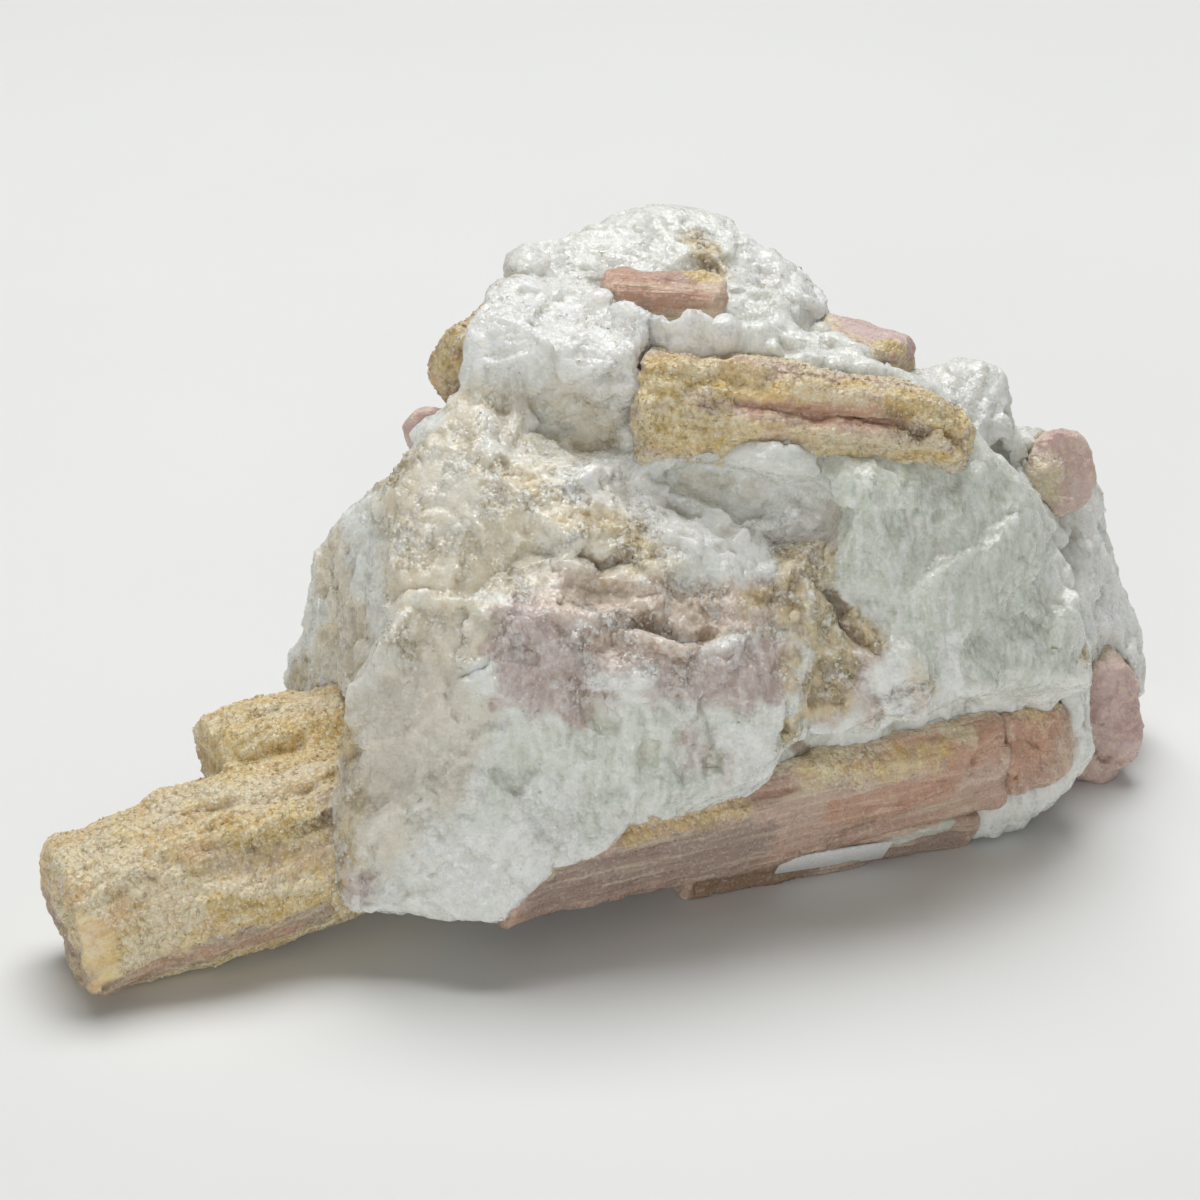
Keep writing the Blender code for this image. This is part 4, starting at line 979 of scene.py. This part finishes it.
def grain_tree(material):
    """Geometry nodes that set small blocky grains into a surface, thickest where its sugar mask is full."""
    tree = bpy.data.node_groups.new("Sugar grain scatter", "GeometryNodeTree")
    tree.interface.new_socket("Surface", in_out="INPUT", socket_type="NodeSocketGeometry")
    for label in ("Density", "Smallest", "Largest"):
        tree.interface.new_socket(label, in_out="INPUT", socket_type="NodeSocketFloat")
    tree.interface.new_socket("Seed", in_out="INPUT", socket_type="NodeSocketInt")
    tree.interface.new_socket("Grains", in_out="OUTPUT", socket_type="NodeSocketGeometry")
    nodes = Nodes(tree)
    given = nodes.add("NodeGroupInput").outputs
    sugar = nodes.add("GeometryNodeInputNamedAttribute", {"Name": "sugar"}, data_type="FLOAT").outputs[0]
    density = nodes.math("MULTIPLY", nodes.math("POWER", sugar, 2.0), given["Density"])
    scatter = nodes.add(
        "GeometryNodeDistributePointsOnFaces",
        {"Mesh": given["Surface"], "Density": density, "Seed": given["Seed"]},
        distribute_method="RANDOM",
    )
    side = nodes.add(
        "FunctionNodeRandomValue", {"Min": given["Smallest"], "Max": given["Largest"], "Seed": 1}, data_type="FLOAT"
    ).outputs[1]
    shape = nodes.add(
        "FunctionNodeRandomValue", {0: (0.6, 0.6, 0.6), 1: (1.3, 1.3, 1.3), "Seed": 2}, data_type="FLOAT_VECTOR"
    ).outputs[0]
    turn = nodes.add(
        "FunctionNodeRandomValue", {0: (0.0, 0.0, 0.0), 1: (6.3, 6.3, 6.3), "Seed": 3}, data_type="FLOAT_VECTOR"
    ).outputs[0]
    scale = nodes.add("ShaderNodeVectorMath", {0: shape, "Scale": side}, operation="SCALE").outputs[0]
    sink = nodes.add(
        "ShaderNodeVectorMath", {0: scatter.outputs["Normal"], "Scale": nodes.math("MULTIPLY", side, -0.22)},
        operation="SCALE",
    ).outputs[0]
    settled = nodes.add("GeometryNodeSetPosition", {"Geometry": scatter.outputs["Points"], "Offset": sink}).outputs[0]
    block = nodes.add("GeometryNodeMeshCube").outputs["Mesh"]
    placed = nodes.add(
        "GeometryNodeInstanceOnPoints", {"Points": settled, "Instance": block, "Rotation": turn, "Scale": scale}
    ).outputs[0]
    real = nodes.add("GeometryNodeRealizeInstances", {"Geometry": placed}).outputs[0]
    dressed = nodes.add("GeometryNodeSetMaterial", {"Geometry": real}).outputs[0]
    dressed.node.inputs["Material"].default_value = material
    nodes.feed(dressed, nodes.add("NodeGroupOutput").inputs["Grains"])
    return tree


def set_modifier_inputs(modifier, values):
    """Sets a node modifier's inputs by their names."""
    for item in modifier.node_group.interface.items_tree:
        if item.item_type == "SOCKET" and item.in_out == "INPUT" and item.name in values:
            modifier[item.identifier] = values[item.name]


def make_grains(host, name, material, share):
    """Blocky grains set into one of the pieces, as a piece of their own. Their material has no light inside."""
    settings = bpy.context.scene.specimen_grains
    obj = new_object(name, host.data.copy())
    modifier = obj.modifiers.new("Grains", "NODES")
    modifier.node_group = grain_tree(material)
    set_modifier_inputs(modifier, {
        "Density": settings.density * share / MM ** 2,
        "Smallest": settings.smallest * MM,
        "Largest": settings.largest * MM,
        "Seed": settings.seed,
    })
    apply_modifiers(obj)
    obj.data.shade_flat()
    finish_piece(obj, material, host["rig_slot"])
    return obj


def solids_tree(names):
    """A search tree over those nodes' solids, in millimetres."""
    points, faces = [], []
    for node in names:
        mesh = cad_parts[node].data
        start = len(points)
        points += [tuple(vertex.co / MM) for vertex in mesh.vertices]
        faces += [[start + index for index in face.vertices] for face in mesh.polygons]
    return BVHTree.FromPolygons(points, faces)


def grow_against_crystals(skin):
    """Closes the quartz raggedly against the crystals that it grips."""
    tree = solids_tree(CRYSTAL_NODES)
    reach = 4.0
    found = [tree.find_nearest(point, reach) for point in skin.points]
    nearest = np.array([hit[0] or point for hit, point in zip(found, skin.points)])
    away = np.array([reach if hit[3] is None else hit[3] for hit in found])
    skin.points += (nearest - skin.points) * (smooth_step(1.7, 0.5, away) * 0.9)[:, None]
    skin.push(smooth_step(3.0, 0.4, away) * 0.35 * rough(skin.points, 2.2, 41))


def room_for_grains(skin):
    """0 close to the solid model's box, which no grain may reach past, and 1 further in."""
    low, high = (np.array(corner) / MM for corner in CAD_BOX)
    return smooth_step(0.8, 1.3, np.minimum(skin.points - low, high - skin.points).min(axis=1))


def quartz_masks(skin, tree):
    """The masks that the quartz's material reads."""
    masks = paint(skin, tree, QUARTZ_FINISHES, rough(skin.points, 3.0, 11))
    # valley marks the hollows, which the material darkens as painted shade; crest marks the edges, which it lightens
    # as painted highlight
    masks["valley"] = smooth_step(0.08, 0.5, skin.hollowness(10))
    masks["crest"] = smooth_step(0.08, 0.4, -skin.hollowness(5))
    masks["sugar"] = np.clip(0.15 + total_of(masks, SUGAR_SHARES) * (1 - 0.6 * masks["green"]), 0.0, 1.0)
    masks["sugar"] *= smooth_step(-0.25, 0.35, rough(skin.points, 4.0, 51)) * room_for_grains(skin)
    return masks


def make_quartz(settings):
    """The whole quartz body: broken faces, ledges and crevices, and its sugary grains."""
    obj = merged_copy("quartz_matrix", "quartz_body")
    remesh(obj, settings.voxel)
    skin = Skin(obj.data)
    skin.smooth(5)
    grow_against_crystals(skin)
    wobble = rough(skin.points, 3.0, 11)
    carve(skin, QUARTZ_RELIEF, wobble)
    tree = surface_tree(skin)
    masks = paint(skin, tree, QUARTZ_FINISHES, wobble)
    roughness = np.clip(total_of(masks, ROUGH_SHARES) * (1 - 0.6 * masks["grey"]), 0.08, 1.0)
    skin.push(rough(skin.points, 7.0, 21, 3) * 0.5)
    skin.break_faces(6.0, 0.16, 0.6, 0.8, 31)
    skin.cleave(8.0, 1.5, 0.6, 34)
    skin.smooth(1)
    skin.cleave(3.5, 0.8, 0.2 + 0.4 * roughness, 35)
    skin.break_faces(2.4, 0.2, 0.45, 0.35, 36)
    skin.break_faces(1.2, 0.18, 0.1 + 0.55 * roughness, 0.25, 33)
    skin.push(rough(skin.points, 1.3, 22, 2) * (0.03 + 0.12 * roughness))
    skin.keep_in_box()
    skin.store()
    thin_out(obj, settings.triangles)
    skin = Skin(obj.data)
    write_masks(obj.data, quartz_masks(skin, tree))
    shade_broken(obj)
    finish_piece(obj, quartz_material("milky_quartz", 0.5), "quartz", "quartz_matrix")
    make_grains(obj, "quartz_sugar", quartz_material("quartz_grains", 0.0), 1.0)


def long_axis(points):
    """The direction in which the points reach furthest."""
    centred = points - points.mean(axis=0)
    return np.linalg.svd(centred, full_matrices=False)[2][0]


def lengthways(points, axis):
    """The points with the crystal's length squeezed, so that noise there runs along it."""
    return points - (points @ axis)[:, None] * axis * (1 - 1 / STRETCH)


def crystal_masks(crystal, skin, tree, quartz, seed):
    """The masks that the crystal's material reads. Quartz sugar clings where the crystal comes out of the quartz."""
    masks = paint(skin, tree, crystal.finishes, rough(skin.points, 2.4, seed + 3))
    away = np.array([quartz.find_nearest(point, 3.0)[3] or 3.0 for point in skin.points])
    clinging = smooth_step(2.2, 0.4, away + 0.8 * rough(skin.points, 1.6, seed + 1))
    masks["snow"] = np.maximum(masks["snow"], 0.6 * clinging)
    # valley marks the hollows, which the material darkens as painted shade; crest marks the edges, which it lightens
    # as painted highlight on the crust
    masks["valley"] = smooth_step(0.06, 0.4, skin.hollowness(8))
    masks["crest"] = smooth_step(0.02, 0.2, -skin.hollowness(4))
    sugar = 1.0 if "crusted" in crystal.look else 0.1
    masks["sugar"] = np.clip(sugar + masks["ochre"] + masks["snow"], 0.0, 1.0) * (1 - 0.85 * masks["pink"])
    masks["sugar"] *= (1 - 0.7 * masks["lilac"]) * room_for_grains(skin)
    return masks


def make_crystal(crystal, material, quartz):
    """One tourmaline crystal: striated along its length, crusted, and broken at its ends."""
    obj = merged_copy(crystal.node, crystal.name)
    remesh(obj, 0.4)
    skin = Skin(obj.data)
    skin.smooth(crystal.rounding)
    skin.push(np.full(len(skin.points), crystal.swell))
    axis = long_axis(skin.points)
    seed = 60 + CRYSTALS.index(crystal) * 10
    wobble = rough(skin.points, 2.4, seed + 3)
    carve(skin, crystal.relief, wobble)
    tree = surface_tree(skin)
    crusted = crystal_masks(crystal, skin, tree, quartz, seed)["sugar"]
    reach = skin.points @ axis
    end = smooth_step(4.0, 0.0, np.minimum(reach - reach.min(), reach.max() - reach))
    skin.push(rough(skin.points, 6.0, seed, 3) * (0.35 + 0.5 * end + 0.2 * crusted))
    grooves = 0.3 - np.abs(rough(lengthways(skin.points, axis), 2.4, seed + 7))
    skin.push(grooves * crystal.striation * (1 - end) * 2 + grooves * 0.2)
    skin.break_faces(3.0, 0.14, 0.2 + 0.5 * end, 0.5, seed + 4)
    skin.break_faces(1.3, 0.2, 0.08 + 0.25 * crusted, 0.2, seed + 6)
    skin.push(rough(skin.points, 1.0, seed + 9, 2) * (0.03 + 0.07 * crusted))
    skin.keep_in_box()
    skin.store()
    thin_out(obj, crystal.triangles)
    skin = Skin(obj.data)
    write_masks(obj.data, crystal_masks(crystal, skin, tree, quartz, seed))
    write_lengthways(obj.data, skin.points, axis)
    shade_broken(obj)
    finish_piece(obj, material, crystal.slot, crystal.node)
    return obj


def make_crystals(tints):
    """Every tourmaline crystal, and the loose grains on the crusted ones."""
    looks = {
        "rubellite": (tints.rubellite, tints.rubellite_pale),
        "raspberry": (tints.raspberry, tints.rose),
        "straw_crusted": (tints.tan, tints.straw),
        "ledge_crusted": (tints.rubellite_pale, tints.straw),
        "brown_crusted": (tints.brown, tints.tan),
    }
    materials = {look: crystal_material(look, 0.3, *shades) for look, shades in looks.items()}
    quartz = solids_tree(["quartz_matrix"])
    for crystal in CRYSTALS:
        obj = make_crystal(crystal, materials[crystal.look], quartz)
        if "crusted" in crystal.look:
            grains = crystal_material(crystal.name + "_grains", 0.0, *looks[crystal.look])
            make_grains(obj, crystal.name + "_sugar", grains, 0.6)


def area_light(name, place, size, power):
    """A square soft light that faces the specimen."""
    light = bpy.data.lights.new(name, "AREA")
    light.size = size
    light.energy = power
    obj = new_object(name, light)
    obj.location = place
    obj.rotation_euler = (-Vector(place)).to_track_quat("-Z", "Y").to_euler()


def make_camera():
    """The camera at the photograph's place."""
    camera = bpy.data.cameras.new("camera")
    camera.lens = LENS
    camera.sensor_width = SENSOR
    camera.clip_start = 0.01
    eye = new_object("camera", camera)
    eye.location = EYE * MM
    eye.rotation_euler = LOOK.to_track_quat("-Z", "Y").to_euler()
    bpy.context.scene.camera = eye


def make_sweep(settings):
    """A pale round floor whose far rim curves up."""
    rings = [(0.7, 0.0), (1.0, 0.0), (1.25, 0.03), (1.45, 0.12), (1.58, 0.28), (1.65, 0.5), (1.68, 0.8)]
    around = 96
    turns = [2 * math.pi * k / around for k in range(around)]
    points = [(radius * math.cos(turn), radius * math.sin(turn), height) for radius, height in rings for turn in turns]
    faces = [tuple(range(around))]
    for ring, k in itertools.product(range(len(rings) - 1), range(around)):
        low, high, following = ring * around, (ring + 1) * around, (k + 1) % around
        faces.append((low + k, high + k, high + following, low + following))
    mesh = bpy.data.meshes.new("sweep")
    mesh.from_pydata(points, [], faces)
    mesh.shade_smooth()
    floor = new_object("sweep", mesh)
    material = bpy.data.materials.new("sweep_paper")
    material.use_nodes = True
    nodes = Nodes(material.node_tree)
    where = nodes.add("ShaderNodeTexCoord").outputs["Object"]
    shader = material.node_tree.nodes["Principled BSDF"]
    shade = [0.985 * part for part in settings.floor]
    nodes.feed(nodes.mix(nodes.spread(nodes.noise(where, 9.0), 0.3, 0.7), shade, settings.floor), shader.inputs["Base Color"])
    shader.inputs["Roughness"].default_value = 0.7
    mesh.materials.append(material)


def make_stage(settings):
    """The camera, the sweep and soft studio light."""
    make_camera()
    make_sweep(settings)
    area_light("overhead", (0.0, 0.3, 0.95), 0.7, settings.overhead)
    area_light("front", (-0.15, -1.0, 0.22), 0.6, settings.front)
    world = bpy.data.worlds.new("studio")
    world.use_nodes = True
    background = world.node_tree.nodes["Background"]
    background.inputs["Color"].default_value = (1.0, 0.97, 0.93, 1.0)
    background.inputs["Strength"].default_value = settings.world
    bpy.context.scene.world = world
    bpy.context.scene.view_settings.view_transform = "Standard"


def make_sticker():
    """The small blank paper sticker on the underside crystal."""
    obj = merged_copy("paper_label", "paper_sticker")
    modifier = obj.modifiers.new("Bevel", "BEVEL")
    modifier.width = 0.08 * MM
    modifier.segments = 2
    apply_modifiers(obj)
    material, nodes, shader, where = new_material("paper", 0.1, (0.5, 0.5, 0.5))
    fibre = nodes.noise(where, 2500.0, 4.0, 0.6)
    nodes.feed(nodes.mix(nodes.spread(fibre, 0.35, 0.65), (0.72, 0.73, 0.72), (0.84, 0.85, 0.84)), shader.inputs["Base Color"])
    shader.inputs["Roughness"].default_value = 0.8
    bump = nodes.add("ShaderNodeBump", {"Height": fibre, "Distance": 0.00003, "Strength": 0.6})
    nodes.feed(bump.outputs[0], shader.inputs["Normal"])
    shade_broken(obj)
    finish_piece(obj, material, "paper", "paper_label")


class SPECIMEN_OT_stage(bpy.types.Operator):
    """Adds the camera, the pale sweep and the soft lights"""

    bl_idname = "specimen.stage"
    bl_label = "Stage"

    def execute(self, context):
        make_stage(context.scene.specimen_stage)
        return {"FINISHED"}


class SPECIMEN_OT_quartz(bpy.types.Operator):
    """Adds the quartz body and its sugary grains"""

    bl_idname = "specimen.quartz"
    bl_label = "Quartz body"

    def execute(self, context):
        make_quartz(context.scene.specimen_quartz)
        return {"FINISHED"}


class SPECIMEN_OT_crystals(bpy.types.Operator):
    """Adds the tourmaline crystals"""

    bl_idname = "specimen.crystals"
    bl_label = "Tourmaline crystals"

    def execute(self, context):
        make_crystals(context.scene.specimen_crystals)
        return {"FINISHED"}


class SPECIMEN_OT_sticker(bpy.types.Operator):
    """Adds the blank paper sticker"""

    bl_idname = "specimen.sticker"
    bl_label = "Paper sticker"

    def execute(self, context):
        make_sticker()
        return {"FINISHED"}


class SPECIMEN_PT_panel(bpy.types.Panel):
    """Lists the pieces of the specimen"""

    bl_idname = "SPECIMEN_PT_panel"
    bl_label = "Rubellite in quartz"
    bl_space_type = "VIEW_3D"
    bl_region_type = "UI"
    bl_category = "Specimen"

    def draw(self, context):
        for operator in OPERATORS:
            self.layout.operator(operator.bl_idname)


OPERATORS = [SPECIMEN_OT_stage, SPECIMEN_OT_quartz, SPECIMEN_OT_crystals, SPECIMEN_OT_sticker]
SETTINGS = {
    "specimen_quartz": QuartzSettings,
    "specimen_crystals": CrystalSettings,
    "specimen_grains": GrainSettings,
    "specimen_stage": StageSettings,
}


def register():
    for cls in (*SETTINGS.values(), *OPERATORS, SPECIMEN_PT_panel):
        bpy.utils.register_class(cls)
    for name, cls in SETTINGS.items():
        setattr(bpy.types.Scene, name, PointerProperty(type=cls))


def unregister():
    for name in SETTINGS:
        delattr(bpy.types.Scene, name)
    for cls in reversed((*SETTINGS.values(), *OPERATORS, SPECIMEN_PT_panel)):
        bpy.utils.unregister_class(cls)


def main():
    """Registers the add-on and makes every piece."""
    register()
    bpy.ops.specimen.stage()
    bpy.ops.specimen.quartz()
    bpy.ops.specimen.crystals()
    bpy.ops.specimen.sticker()


if __name__ == "__main__":
    main()
